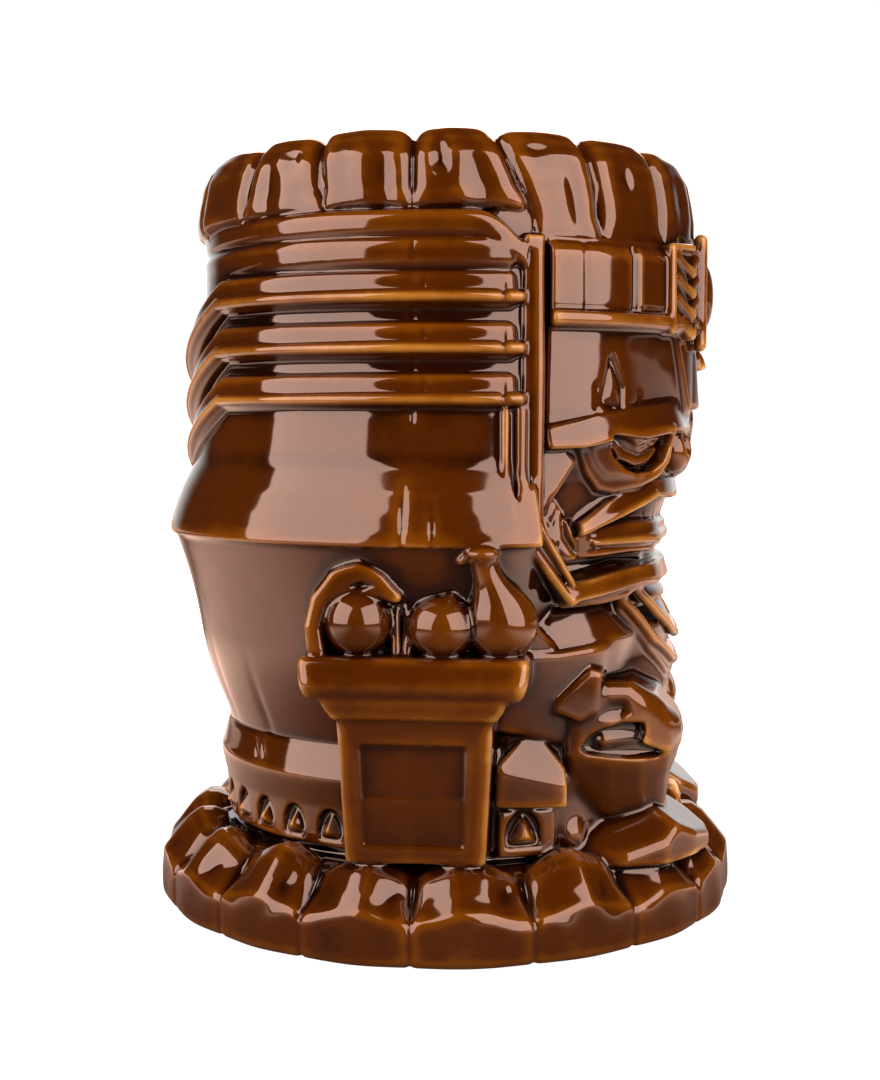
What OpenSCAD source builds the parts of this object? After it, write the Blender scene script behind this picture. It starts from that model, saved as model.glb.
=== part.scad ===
// Tiki mug: a seated, hooded figure in relief on a round cup, with a lobed crown and base
// and an offering altar on each side. +Z is up, the figure faces +X, and the origin is the
// centre of the footprint. Angles on the surface are in degrees from the front of the figure
// towards its right side, and every outline point on the surface is [angle, height].

/* [Cup] */
// Overall height
height = 150; // [149:0.5:154]
// Outside radius of the plain cup wall under the relief
cup_r = 44; // [43.5:0.1:44.3]
// Thickness of the cup wall
wall = 3.5; // [3:0.1:5]
// Thickness of the cup floor
floor_t = 5; // [4:0.5:8]
// Height of the cup's underside above the table
underside_z = 3; // [2.5:0.5:5]

/* [Base] */
// Largest radius of the lobed base
base_r = 59; // [58.8:0.1:62]
// Height of the base lobes
base_h = 17; // [16.5:0.1:17]
// Number of lobes round the base and round the crown
lobes = 18; // [18:18:18]
// Angle of the groove between two lobes
lobe_gap = 1.2; // [0.6:0.1:3]

/* [Crown] */
// Largest radius of the crown
crown_r = 50.7; // [50:0.1:52]
// Height where the crown lobes start at the back and sides
crown_z = 135; // [134.5:0.5:136]
// Height where the crown lobes start over the face
crown_front_z = 130; // [129.5:0.5:131]

/* [Hood and cape] */
// Radius of the hood under its raised bands
hood_r = 50.6; // [50:0.1:51]
// Half angle of the open face
face_a = 63.5; // [62:0.5:64]
// Width of the hood's edge bead, as an angle
edge_w = 6.5; // [5:0.5:8]
// Height of the uppermost cape band's top edge
band_top = 124.5; // [124:0.1:125]
// Distance from one cape band to the next
band_pitch = 9.1; // [8.5:0.1:9.5]
// Height of one cape band
band_h = 5.2; // [4:0.1:6]
// Largest radius of the cape bands
band_r = 53.2; // [52:0.1:54]
// Angle at which the cape bands turn down towards the middle of the back
chevron_a = 140; // [120:1:155]
// Drop of the cape bands at the middle of the back
chevron_drop = 15; // [8:0.5:18]

/* [Robe and belt] */
// Largest radius of the robe, at the hem of the hood
robe_r = 57; // [55:0.1:58]
// Height of the hem of the hood
hem_z = 75.5; // [75:0.1:76]
// Height of the belt's top edge
belt_top = 37; // [36:0.1:38]
// Radius of the belt's ridge
belt_r = 46.7; // [46:0.1:47.5]

/* [Altar] */
// Width of the altar's slab
slab_w = 42; // [38:0.5:44]
// Distance of the slab's front from the cup's axis
slab_y = 58.6; // [57:0.1:58.8]
// Heights of the slab's underside and top
slab_z = [48, 56];
// Width of the altar's column at its top
column_w = 28.5; // [24:0.5:32]
// Radius of the round fruit
fruit_r = 6.2; // [5:0.1:6.5]

/* [Hidden] */
SIDES = ["right", "left"];
SIDED = ["hood_edge", "headband_plaque", "eye", "cheek", "arm", "hand", "leg", "foot",
         "stone_block", "altar_column", "altar_slab", "round_fruit", "fruit_leaf",
         "bead_string", "small_fruit", "gourd"];
SINGLE = ["cup_wall", "cup_floor", "foot_ring", "base_plinth", "base_lobes", "crown_lobes",
          "hood_shell", "cornice_upper", "cornice_lower", "cape_band_1", "cape_band_2",
          "cape_band_3", "robe", "belt_upper", "belt_lower", "belt_studs", "face_plate",
          "headband", "headband_ledge", "crest_plate", "brow_pendant", "brow_ridge", "nose",
          "upper_lip", "lower_lip", "chin_strap", "chest", "collar"];

$fn = 48;
inner_r = cup_r - wall;
lobe_pitch = 360 / lobes;
hood_a = face_a + edge_w;
face_r = 46.5;
brow_r = 53;
headband_r = 52.4;
foot_in = 40;
foot_out = 47;
lobe_clear = 0.6;
stud_pitch = 11;
neck_z = 44;
chest_top = 64;
glaze = [0.42, 0.20, 0.06];
amber = [0.70, 0.45, 0.18];
deep = [0.28, 0.12, 0.04];

// A point of an outline that is drawn flat and projected onto a surface of radius r,
// where the drawing plane touches the surface at the angle at.
function on_face(p, at, r) = [r * sin(at - p[0]), p[1]];
function mirrored(pts) =
    concat(pts, [for (i = [len(pts) - 1:-1:0]) if (pts[i][0] != 0) [-pts[i][0], pts[i][1]]]);
function oval(c, a, b, n = 20) =
    [for (i = [0:n - 1]) c + [a * cos(360 * i / n), b * sin(360 * i / n)]];

// Turns a profile of [radius, height] points from angle a0 to angle a1.
module sector(a0, a1) {
    rotate([0, 0, -a1]) rotate_extrude(angle = a1 - a0) children();
}

// A raised shape from radius r0 to r1, with the outline pts.
module relief(pts, at, r0, r1) {
    intersection() {
        difference() {
            cylinder(r = r1, h = height);
            translate([0, 0, -1]) cylinder(r = r0, h = height + 2);
        }
        rotate([0, 0, -at]) rotate([90, 0, 90])
            linear_extrude(height = r1 + 1) polygon([for (p = pts) on_face(p, at, r1)]);
    }
}

// Draws its children for the figure's right side, or mirrored for its left side.
module on_side(side) {
    mirror([0, side == "left" ? 1 : 0, 0]) children();
}

function ball_at(angle, r, z) = [r * cos(angle), -r * sin(angle), z];

// Outer profiles of the body, also used to seat the altar and the limbs on it.
function robe_line() =
    [[44.9, belt_top], [46.5, 42], [47.9, 45], [49.1, 48], [50.1, 52], [51.4, 61], [53, 67],
     [robe_r - 0.8, 73], [robe_r, hem_z]];
function hood_line() =
    [[robe_r, hem_z], [robe_r - 0.6, 79.5], [55, 82.5], [54, 85.5], [51.6, 90], [51, 100], [hood_r, 101]];
function belt_line() = [[45.2, 26], [belt_r, 31], [belt_r - 0.3, 32.2], [44.9, belt_top]];

module robed_body() {
    foot_line = [[0, base_h], [45.6, base_h], [45.6, 24.5], [44.6, 25.2], [44.6, 26]];
    rotate_extrude() polygon(concat(foot_line, belt_line(), robe_line(), hood_line(),
                                    [[hood_r, crown_z], [0, crown_z]]));
}

module front_body() {
    translate([0, 0, base_h]) cylinder(r = face_r, h = chest_top - base_h);
}

module base_envelope() {
    rotate_extrude() polygon([[0, 0], [base_r, 0], [base_r, 6.2], [56, 11], [53.5, 15], [52, 16.8],
                              [50, base_h], [0, base_h]]);
}

// ---- cup and base ----
module cup_wall() {
    color(glaze) rotate_extrude()
        polygon([[inner_r, underside_z], [cup_r, underside_z], [cup_r, height - 1.2],
                 [cup_r - 0.6, height - 0.4], [cup_r - 1.6, height - 0.2], [inner_r + 0.6, height - 1],
                 [inner_r, height - 2.2]]);
}

module cup_floor() {
    color(deep) translate([0, 0, underside_z]) cylinder(r = inner_r, h = floor_t);
}

module foot_ring() {
    color(amber) rotate_extrude()
        polygon([[foot_in, 0.6], [foot_in + 0.6, 0], [foot_out - 0.6, 0], [foot_out, 0.6],
                 [foot_out, underside_z], [foot_in, underside_z]]);
}

module base_plinth() {
    color(deep) rotate_extrude()
        polygon([[cup_r, underside_z], [foot_out, underside_z], [foot_out, lobe_clear], [54, lobe_clear],
                 [56, 3], [56, 6], [50, 14.5], [47, 16], [cup_r, 16.4]]);
}

module base_lobes() {
    color(glaze) for (i = [0:lobes - 1]) rotate([0, 0, i * lobe_pitch])
        sector((lobe_gap - lobe_pitch) / 2, (lobe_pitch - lobe_gap) / 2)
            polygon([[54, lobe_clear], [base_r - 1.4, lobe_clear], [base_r - 0.3, 1.6], [base_r, 3.5],
                     [base_r, 6.2], [base_r - 0.4, 7.5], [56, 11], [53.5, 15], [52, base_h - 0.2],
                     [50, base_h], [48, base_h - 0.4], [47, 16], [50, 14.5], [56, 6], [56, 3]]);
}

// ---- crown ----
module crown_lobes() {
    color(glaze) for (i = [0:lobes - 1]) {
        centre = i * lobe_pitch;
        over_face = centre < hood_a || centre > 360 - hood_a;
        z0 = over_face ? crown_front_z : crown_z;
        rotate([0, 0, centre]) sector((lobe_gap - lobe_pitch) / 2, (lobe_pitch - lobe_gap) / 2)
            polygon([[cup_r, z0], [crown_r - 0.9, z0], [crown_r - 0.1, z0 + 2], [crown_r, z0 + 5],
                     [crown_r - 0.5, height - 6], [crown_r - 1.9, height - 2.5],
                     [crown_r - 4.1, height - 0.4], [cup_r + 0.6, height], [cup_r, height - 0.6]]);
    }
}

// ---- hood and cape ----
module hood_shell() {
    color(glaze) sector(hood_a, 360 - hood_a)
        polygon(concat([[cup_r, hem_z]], hood_line(), [[hood_r, crown_z], [cup_r, crown_z]]));
}

module ledge(z0, z1, reach) {
    sector(hood_a, 360 - hood_a) polygon([[hood_r, z0], [reach - 0.8, z0], [reach, z0 + 1],
        [reach, z1 - 1], [reach - 0.8, z1], [hood_r, z1]]);
}

module cornice_upper() {
    color(amber) ledge(131.5, crown_z, band_r + 0.2);
}

module cornice_lower() {
    color(amber) ledge(125.5, 130, band_r - 0.2);
}

// Drop of a cape band at an angle, which is nothing until the corner and then even to the middle.
function drop_at(a) = max(0, (180 - abs(180 - a) - chevron_a) / (180 - chevron_a)) * chevron_drop;

// A band swept round the hood, following the drop.
module cape_band(k) {
    steps = 44;
    top = band_top - k * band_pitch;
    seat = hood_r / cos((180 - hood_a) / steps);
    ring = [[seat, top - band_h], [band_r, top - band_h + 0.4], [band_r, top - band_h + 1.6],
            [band_r - 1.2, top - band_h + 2.2], [band_r - 1, top - 0.6], [seat, top]];
    n = len(ring);
    angles = [for (i = [0:steps]) hood_a + (360 - 2 * hood_a) * i / steps];
    points = [for (a = angles, p = ring) ball_at(a, p[0], p[1] - drop_at(a))];
    around = [for (i = [0:steps - 1], j = [0:n - 1])
        [i * n + j, i * n + (j + 1) % n, (i + 1) * n + (j + 1) % n, (i + 1) * n + j]];
    first = [for (j = [n - 1:-1:0]) j];
    last = [for (j = [0:n - 1]) steps * n + j];
    color(glaze) polyhedron(points, concat(around, [first, last]), convexity = 6);
}

module cape_band_1() { cape_band(0); }
module cape_band_2() { cape_band(1); }
module cape_band_3() { cape_band(2); }

module hood_edge(side) {
    color(amber) on_side(side) sector(face_a, hood_a)
        polygon([[cup_r, chest_top], [52, chest_top], [54.4, 72], [54.6, 85], [53.6, 92],
                 [53.6, crown_z - 4], [52.6, crown_z], [cup_r, crown_z]]);
}

// ---- robe and belt ----
module robe() {
    color(glaze) sector(hood_a, 360 - hood_a)
        polygon(concat([[cup_r, belt_top]], robe_line(), [[cup_r, hem_z]]));
}

module belt_upper() {
    color(amber) sector(hood_a, 360 - hood_a)
        polygon(concat([[cup_r, 26]], belt_line(), [[cup_r, belt_top]]));
}

module belt_lower() {
    color(deep) sector(hood_a, 360 - hood_a)
        polygon([[cup_r, base_h], [45.3, 17.4], [45.6, 24.5], [44.6, 25.2], [44.6, 26], [cup_r, 26]]);
}

// A four-sided point, cut from two wedges.
module stud(angle, r) {
    w = 2.4;
    outline = [[0, -w], [0, w], [2.2, 0.2], [2.2, -0.2]];
    rotate([0, 0, -angle]) translate([r, 0, 21.6]) intersection() {
        translate([0, 0, -w]) linear_extrude(height = 2 * w) polygon(outline);
        rotate([90, 0, 0]) translate([0, 0, -w]) linear_extrude(height = 2 * w) polygon(outline);
    }
}

module belt_studs() {
    color(amber) for (s = [-1, 1]) {
        stud(s * 66, face_r);
        for (a = [112:stud_pitch:178]) stud(s * a, 45.6);
    }
}

module stone_block(side) {
    color(glaze) on_side(side)
        relief([[69.8, 26], [69.8, 33], [65, 40], [60, 33], [60, 26]], 65, face_r, 49.4);
}

// ---- head ----
module face_plate() {
    color(deep) sector(-face_a, face_a)
        polygon([[cup_r, chest_top], [face_r, chest_top], [face_r, 96], [50, 98], [50.4, 115],
                 [50.4, crown_front_z], [cup_r, crown_front_z]]);
}

module chest() {
    color(glaze) sector(-hood_a, hood_a)
        polygon([[cup_r, base_h], [face_r, base_h], [face_r, chest_top], [cup_r, chest_top]]);
}

module headband() {
    color(glaze) sector(-face_a, face_a) translate([50.4, 117.5]) square([headband_r - 50.4, 12]);
}

module headband_ledge() {
    color(amber) sector(-face_a, face_a)
        polygon([[50.4, 115], [52.8, 115.2], [53.1, 116.2], [52.8, 117.5], [50.4, 117.5]]);
}

module headband_plaque(side) {
    color(amber) on_side(side)
        relief([[27.5, 118], [27.5, 129], [14.5, 129], [14.5, 118]], 21, headband_r, 54.2);
}

module crest_plate() {
    color(glaze) relief(mirrored([[6, 131], [12.5, 128.5], [13.5, 122], [9, 117.6]]), 0, headband_r, 55.4);
}

module brow_pendant() {
    color(amber) relief(mirrored([[1.2, 114.8], [4.6, 109], [4.4, 104.5], [1.8, 102.3]]), 0, 50.4, 54);
}

module brow_ridge() {
    color(glaze) sector(-61, 61) polygon([[face_r, 94.6], [52.4, 94.6], [brow_r, 96.5], [52.6, 100.4],
                                          [50.1, 101.2], [50, 98], [face_r, 96]]);
}

module eye(side) {
    color(amber) on_side(side) relief(oval([38, 90.3], 8.5, 3.6), 38, face_r, 49.4);
}

module nose() {
    color(glaze) relief(mirrored([[4.5, 94.6], [9.5, 89], [9.5, 86.2], [4, 85.4]]), 0, face_r, 51.6);
}

module cheek(side) {
    color(glaze) on_side(side)
        relief([[62, 92], [55, 85.8], [50, 84.4], [56, 79], [62, 77]], 56, face_r, 49.4);
}

module upper_lip() {
    color(glaze)
        relief(mirrored([[0, 84.2], [29, 84.8], [40, 82.2], [50, 79], [36, 80], [0, 80]]), 0, face_r, 48.2);
}

module lower_lip() {
    color(glaze) relief([[50, 77], [36, 75.8], [0, 75.2], [-36, 75.8], [-50, 77], [-40, 72.4],
                         [0, 71.2], [40, 72.4]], 0, face_r, 47.8);
}

module chin_strap() {
    color(amber) relief(mirrored([[0, 69.6], [36, 70.4], [57, 67], [63, 77], [63, 71], [58, 64.6],
                                  [35, 66], [0, 65.4]]), 0, face_r, 49.6);
}

module collar() {
    color(amber) relief([[42, 63], [25, 56.6], [0, 52], [-25, 56.6], [-42, 63], [-32, 52], [0, 45.6],
                         [32, 52]], 0, face_r, 48.6);
}

// ---- limbs ----
// A block cut to one outline seen from the side and another seen from the front.
module block(side_view, front_view) {
    intersection() {
        rotate([90, 0, 0]) linear_extrude(height = 50) polygon(side_view);
        rotate([90, 0, 90]) translate([0, 0, 10]) linear_extrude(height = 50) polygon(front_view);
    }
}

leg_top = [[49, 37], [46, 42], [34, 51]];

module leg_form() {
    block(concat([[24, 20], [44.5, 20], [46, 30]], leg_top, [[24, 50.5]]),
          [[-13, 19], [-36, 19], [-39, 40], [-36, 52], [-14, 52], [-11.5, 38]]);
}

module foot_form() {
    block([[28, 6], [53, 6], [56, 8.5], [55.5, 11.5], [50, 16.5], [44, 20], [28, 20]],
          [[-12, 5], [-36, 5], [-36, 15], [-34, 21], [-14, 21], [-12, 16]]);
}

module hand_form() {
    block(concat(leg_top, [[31, 53.5], [37, 54], [44, 49.5], [50, 43.5], [51.8, 38]]),
          [[-15, 30], [-32, 30], [-34, 40], [-30, 60], [-16, 60], [-14, 40]]);
}

module foot(side) {
    color(glaze) on_side(side) intersection() {
        difference() {
            foot_form();
            base_envelope();
            front_body();
        }
        cylinder(r = base_r - 1, h = neck_z);
    }
}

module leg(side) {
    color(glaze) on_side(side) difference() {
        leg_form();
        front_body();
    }
}

module hand(side) {
    color(amber) on_side(side) difference() {
        hand_form();
        front_body();
    }
}

module arm(side) {
    color(glaze) on_side(side) difference() {
        relief([[69.5, 63.5], [69.5, 42], [52, 41], [46, 50], [48, 60], [54, 63.5]], 58, face_r, 51.5);
        leg_form();
        hand_form();
    }
}

// ---- altars ----
module slab_form() {
    r = 2.5;
    depth = 22;
    for (z = [[slab_z[0] + 0.8, slab_z[1] - 0.8, 0], [slab_z[0], slab_z[1], 0.8]])
        translate([0, 0, z[0]]) linear_extrude(height = z[1] - z[0]) {
            translate([-slab_w / 2 + z[2], -slab_y + r]) square([slab_w - 2 * z[2], depth]);
            translate([-slab_w / 2 + r, -slab_y + z[2]]) square([slab_w - 2 * r, depth]);
            for (s = [-1, 1]) translate([s * (slab_w / 2 - r), -slab_y + r]) circle(r = r - z[2]);
        }
}

// The column, its stepped neck, and the shallow panel sunk in its front.
module column_form() {
    foot_w = column_w - 2.8;
    front = 54;
    difference() {
        translate([0, -40, 0]) rotate([90, 0, 0]) linear_extrude(height = front - 40)
            polygon([[-foot_w / 2, base_h], [foot_w / 2, base_h], [column_w / 2, neck_z],
                     [-column_w / 2, neck_z]]);
        translate([-9.5, -front - 1, 21]) cube([19, 2, 20]);
    }
    translate([-column_w / 2 - 2, -front - 1.5, neck_z])
        cube([column_w + 4, front - 38, slab_z[0] - neck_z]);
}

module altar_slab(side) {
    color(glaze) on_side(side) difference() {
        slab_form();
        robed_body();
    }
}

module altar_column(side) {
    color(glaze) on_side(side) difference() {
        column_form();
        robed_body();
    }
}

fruit_at = [-10, -52.6, slab_z[1] + fruit_r - 0.1];
small_fruit_at = [5.4, -53.4, slab_z[1] + 4.9];
gourd_at = [15.4, -52.4, slab_z[1]];

module fruit_form() { translate(fruit_at) sphere(r = fruit_r); }
module small_fruit_form() { translate(small_fruit_at) sphere(r = 5); }

module gourd_form() {
    translate(gourd_at) rotate_extrude()
        polygon([[0, 0], [4, 0], [5.8, 3], [6, 6], [5.2, 9.4], [2.6, 12.4], [0, 12.4]]);
    translate(gourd_at + [-1.6, -3.6, 8]) rotate_extrude()
        polygon([[0, 0], [2.6, 0], [1.9, 5], [1.9, 9], [2.7, 11], [0, 11]]);
}

module seated() {
    difference() {
        children();
        slab_form();
        robed_body();
    }
}

module round_fruit(side) {
    color(glaze) on_side(side) seated() fruit_form();
}

module fruit_leaf(side) {
    color(amber) on_side(side) difference() {
        seated() translate(fruit_at) rotate([90, 0, 0]) rotate([0, 0, 20]) rotate_extrude(angle = 170)
            translate([fruit_r + 0.6, -1.4]) square([1.6, 4.4]);
        fruit_form();
    }
}

module bead_string(side) {
    color(amber) on_side(side) difference() {
        seated() for (z = [1.6, 4.6, 7.6]) translate([-1.7, -54.6, slab_z[1] + z]) sphere(r = 1.7);
        fruit_form();
        small_fruit_form();
        translate(fruit_at) sphere(r = fruit_r + 2.3);
    }
}

module small_fruit(side) {
    color(glaze) on_side(side) seated() small_fruit_form();
}

module gourd(side) {
    color(glaze) on_side(side) difference() {
        seated() gourd_form();
        small_fruit_form();
    }
}

cup_wall();
cup_floor();
foot_ring();
base_plinth();
base_lobes();
crown_lobes();
hood_shell();
cornice_upper();
cornice_lower();
cape_band_1();
cape_band_2();
cape_band_3();
robe();
belt_upper();
belt_lower();
belt_studs();
face_plate();
headband();
headband_ledge();
crest_plate();
brow_pendant();
brow_ridge();
nose();
upper_lip();
lower_lip();
chin_strap();
chest();
collar();
for (side = SIDES) {
    hood_edge(side);
    headband_plaque(side);
    eye(side);
    cheek(side);
    arm(side);
    hand(side);
    leg(side);
    foot(side);
    stone_block(side);
    altar_column(side);
    altar_slab(side);
    round_fruit(side);
    fruit_leaf(side);
    bead_string(side);
    small_fruit(side);
    gourd(side);
}
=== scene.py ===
"""Tiki mug: a glazed ceramic mug carved as a hooded, seated figure.

The carving is modelled as clay would be: pieces are pressed onto a plain round cup as a field of
distances, softened the way glaze softens an edge, and turned into one surface that is then parted
into the named pieces. Lengths are in millimetres and angles in degrees until a mesh is made. An angle
is measured from the front of the figure, +X, towards its right side, -Y; the left side mirrors it.
"""
import math
from itertools import product

import bpy
import numpy as np
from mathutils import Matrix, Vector


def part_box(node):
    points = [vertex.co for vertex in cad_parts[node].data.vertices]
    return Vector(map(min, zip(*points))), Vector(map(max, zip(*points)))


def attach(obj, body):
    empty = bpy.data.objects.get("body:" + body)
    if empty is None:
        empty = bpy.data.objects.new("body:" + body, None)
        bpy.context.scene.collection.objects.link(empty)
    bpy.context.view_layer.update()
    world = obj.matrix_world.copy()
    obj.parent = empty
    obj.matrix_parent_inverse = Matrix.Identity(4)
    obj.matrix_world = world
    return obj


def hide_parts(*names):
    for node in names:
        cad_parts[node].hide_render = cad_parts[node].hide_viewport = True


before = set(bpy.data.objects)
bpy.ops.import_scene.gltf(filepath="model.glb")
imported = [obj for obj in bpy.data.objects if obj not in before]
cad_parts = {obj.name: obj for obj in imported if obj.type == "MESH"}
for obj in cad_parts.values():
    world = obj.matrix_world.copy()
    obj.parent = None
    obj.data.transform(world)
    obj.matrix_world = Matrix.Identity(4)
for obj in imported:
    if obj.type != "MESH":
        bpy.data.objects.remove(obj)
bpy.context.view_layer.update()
MM = 0.001


def mm_box(node):
    """The lowest and highest corners of a CAD node, in millimetres."""
    low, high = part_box(node)
    return np.array(low) / MM, np.array(high) / MM


# ---- sizes that the frame gives
HEIGHT = mm_box("crown_lobes")[1][2]
CROWN_R = mm_box("crown_lobes")[1][1]
BASE_R = mm_box("base_lobes")[1][0]
WALL_R = mm_box("cup_wall")[1][0]
INNER_R = mm_box("cup_floor")[1][0]
FLOOR_Z = mm_box("cup_floor")[1][2]
HEM_Z, CROWN_Z = (corner[2] for corner in mm_box("hood_shell"))
SLAB_Z = [corner[2] for corner in mm_box("altar_slab_right")]
SLAB_HALF = mm_box("altar_slab_right")[1][0]
ALTAR_Y = -mm_box("altar_slab_right")[0][1]
BASE_Z = mm_box("belt_lower")[0][2]
LIP_Z = HEIGHT - 9

# ---- sizes of the carving
FACE_A = 64.0  # the angle where the face ends
HOOD_A = 70.0  # the angle where the hood starts
HOOD_R = 50.6  # the hood's radius above its flare
BANDS = ("cape_band_1", "cape_band_2", "cape_band_3")
BAND_TOP = 124.5  # the upper edge of the first cape band
BAND_PITCH = 9.1  # from one cape band to the next
TURN_A = 140.0  # the angle where the cape turns down towards the back
TURN_DROP = 15.0  # how far it has come down at the back
BELT_PARTING = 26  # the height where the lower belt ends
GLAZE_COAT = 0.32  # how far the glaze softens the clay's edges
WARP = 0.10  # the slow waver of a surface shaped by hand
ORANGE_PEEL = 0.006  # the small waver of the glaze
EDGE_REACH = 0.9  # how far round an edge the glaze runs thin
POOL_AND_SHADE_REACH = 2.2  # how far round a hollow the glaze gathers and shade is painted in
THICK = 1.0  # the thickness of each closed piece

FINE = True
STEP_A, STEP_Z, STEP_R = (0.45, 0.42, 0.42) if FINE else (0.9, 0.8, 0.8)
GRID_R0 = 39.0
GRID_R1 = 63.0
FAR = 6.0  # the distance given to all places that are no nearer to the clay
SMALLEST_PATCH = 60 if FINE else 16  # in faces; smaller patches join their neighbours

PIECES = ["cup_wall"]  # the pieces' names, in the order in which they are pressed on
RIPPLES = np.random.default_rng(7)


# ---- the clay: a field of distances
class Clay:
    """Signed distances on a grid of angle, height and radius, for the figure's right half."""

    def __init__(self):
        count = round(180 / STEP_A)
        self.a = (np.arange(count) + 0.5) * (180 / count)
        self.z = np.arange(-2.0, HEIGHT + 2.5, STEP_Z)
        self.r = np.arange(GRID_R0, GRID_R1, STEP_R)
        shape = (len(self.a), len(self.z), len(self.r))
        self.field = np.full(shape, FAR, np.float32)
        self.tag = np.zeros(shape, np.uint8)

    def part(self, a0=0, a1=180, z0=-2, z1=160, r0=0, r1=90):
        """A block of the grid: its slices, and the angles, heights and radii in it."""
        block = []
        for axis, low, high in ((self.a, a0, a1), (self.z, z0, z1), (self.r, r0, r1)):
            i, j = np.searchsorted(axis, (low, high))
            block.append(slice(int(i), max(int(j), int(i) + 1)))
        a = self.a[block[0]][:, None, None].astype(np.float32)
        z = self.z[block[1]][None, :, None].astype(np.float32)
        r = self.r[block[2]][None, None, :].astype(np.float32)
        return tuple(block), a, z, r

    def add(self, name, block, d, soft=0.8):
        """Presses a piece on, with a fillet of about the size soft where it meets the rest."""
        if name not in PIECES:
            PIECES.append(name)
        f = self.field[block]
        self.tag[block][d < f] = PIECES.index(name)
        self.field[block] = np.minimum(smin(f, d, soft), FAR)

    def cut(self, block, d, soft=0.6):
        """Cuts a shape out."""
        self.field[block] = smax(self.field[block], -d, soft)


def smax(a, b, k):
    """The larger of two distances, with a rounded edge of about the size k."""
    h = np.maximum(k - np.abs(a - b), 0)
    return np.maximum(a, b) + h * h / (4 * k)


def smin(a, b, k):
    """The smaller of two distances, with a fillet of about the size k."""
    h = np.maximum(k - np.abs(a - b), 0)
    return np.minimum(a, b) - h * h / (4 * k)


def polygon(x, y, points):
    """Distance to a closed outline, negative inside."""
    best = None
    inside = False
    for i in range(len(points)):
        (ax, ay), (bx, by) = points[i - 1], points[i]
        ex, ey = bx - ax, by - ay
        wx, wy = x - ax, y - ay
        t = np.clip((wx * ex + wy * ey) / (ex * ex + ey * ey), 0, 1)
        d = (wx - ex * t) ** 2 + (wy - ey * t) ** 2
        best = d if best is None else np.minimum(best, d)
        if ay != by:
            cross = (ay > y) != (by > y)
            inside = inside ^ (cross & (x < ex * (y - ay) / ey + ax))
    return np.where(inside, -1, 1) * np.sqrt(best)


def eased(points):
    """The same open chain with its corners cut three times over."""
    for _ in range(3):
        cut = [points[0]]
        for (ax, ay), (bx, by) in zip(points[:-1], points[1:]):
            cut.append((0.75 * ax + 0.25 * bx, 0.75 * ay + 0.25 * by))
            cut.append((0.25 * ax + 0.75 * bx, 0.25 * ay + 0.75 * by))
        points = cut + [points[-1]]
    return points


def line(x, y, points):
    """Distance to an open chain of straight stretches."""
    best = None
    for (ax, ay), (bx, by) in zip(points[:-1], points[1:]):
        ex, ey = bx - ax, by - ay
        t = np.clip(((x - ax) * ex + (y - ay) * ey) / (ex * ex + ey * ey), 0, 1)
        d = (x - ax - ex * t) ** 2 + (y - ay - ey * t) ** 2
        best = d if best is None else np.minimum(best, d)
    return np.sqrt(best)


def rounded(d, e, radius):
    """Where two distances meet at a right angle, with that edge radius."""
    outside = np.hypot(np.maximum(d + radius, 0), np.maximum(e + radius, 0))
    return outside + np.minimum(np.maximum(d, e) + radius, 0) - radius


def ease(x, low, high):
    """A smooth step from 0 at low to 1 at high."""
    t = np.clip((x - low) / (high - low), 0, 1)
    return t * t * (3 - 2 * t)


def bump(x, centre, width):
    """A smooth hump of height 1."""
    return np.exp(-(((x - centre) / width) ** 2))


def along(a, r=50.0):
    """Length round the cup from the front, at radius r."""
    return np.radians(a) * r


def wrapped(points):
    """An outline given as angle and height, as lengths round and up the cup."""
    return [(float(along(a)), z) for a, z in points]


def cartesian(a, z, r):
    """Places in the object's frame."""
    t = np.radians(a)
    return r * np.cos(t), -r * np.sin(t), z


def set_back(a, z):
    """How much the jaw and lips lie back from the round of the cup, towards the front."""
    depth = 3.7 * ease(z, 62, 68) * (1 - 0.6 * ease(z, 74, 84)) * (1 - ease(z, 84, 94))
    return depth * ease(36 - a, 0, 28)


clay = Clay()


def around(points, across, up, r1=90):
    """The block of the grid round a list of angles and heights, with margins across and up."""
    angles, heights = zip(*points)
    return clay.part(min(angles) - across, max(angles) + across, min(heights) - up, max(heights) + up, 0, r1)


def raised(name, points, r0, r1, edge=0.8, soft=0.8, tilt=None):
    """A flat-topped shape on the cup's surface, with an outline of angle and height."""
    block, a, z, r = around(points, 6, 4, r1 + 5)
    flat = polygon(along(a), z, wrapped(points))
    r = r + set_back(a, z)
    top = r - r1 if tilt is None else r - r1 - tilt(a, z)
    clay.add(name, block, rounded(flat, np.maximum(top, r0 - r), edge), soft)


def groove(points, r_surface, depth, width, soft=0.5):
    """A groove along a line of angle and height, cut to a depth below the surface radius."""
    block, a, z, r = around(points, 4, 3)
    flat = line(along(a), z, wrapped(points))
    away = (r + set_back(a, z) - r_surface) / depth
    clay.cut(block, np.hypot(flat / width, away) * width - width, soft)


def bead(name, points, r_centre, radius, soft=0.6):
    """A half-round bead along a line of angle and height."""
    block, a, z, r = around(points, 5, 4)
    flat = line(along(a), z, wrapped(points))
    clay.add(name, block, np.hypot(flat, r + set_back(a, z) - r_centre) - radius, soft)


def ball(x, y, z, centre, size, scale=None):
    """An ellipsoid's distance, near enough, with half-widths size; scale is the distance's unit."""
    q = sum(((value - middle) / half) ** 2 for value, middle, half in zip((x, y, z), centre, size))
    return (np.sqrt(q) - 1) * (scale or min(size))


def rod(x, y, z, start, end, r0, r1):
    """A tapered round bar."""
    s, e = np.array(start), np.array(end)
    v = e - s
    t = np.clip(((x - s[0]) * v[0] + (y - s[1]) * v[1] + (z - s[2]) * v[2]) / float(v @ v), 0, 1)
    d = np.sqrt((x - s[0] - v[0] * t) ** 2 + (y - s[1] - v[1] * t) ** 2 + (z - s[2] - v[2] * t) ** 2)
    return d - (r0 + (r1 - r0) * t)


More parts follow.
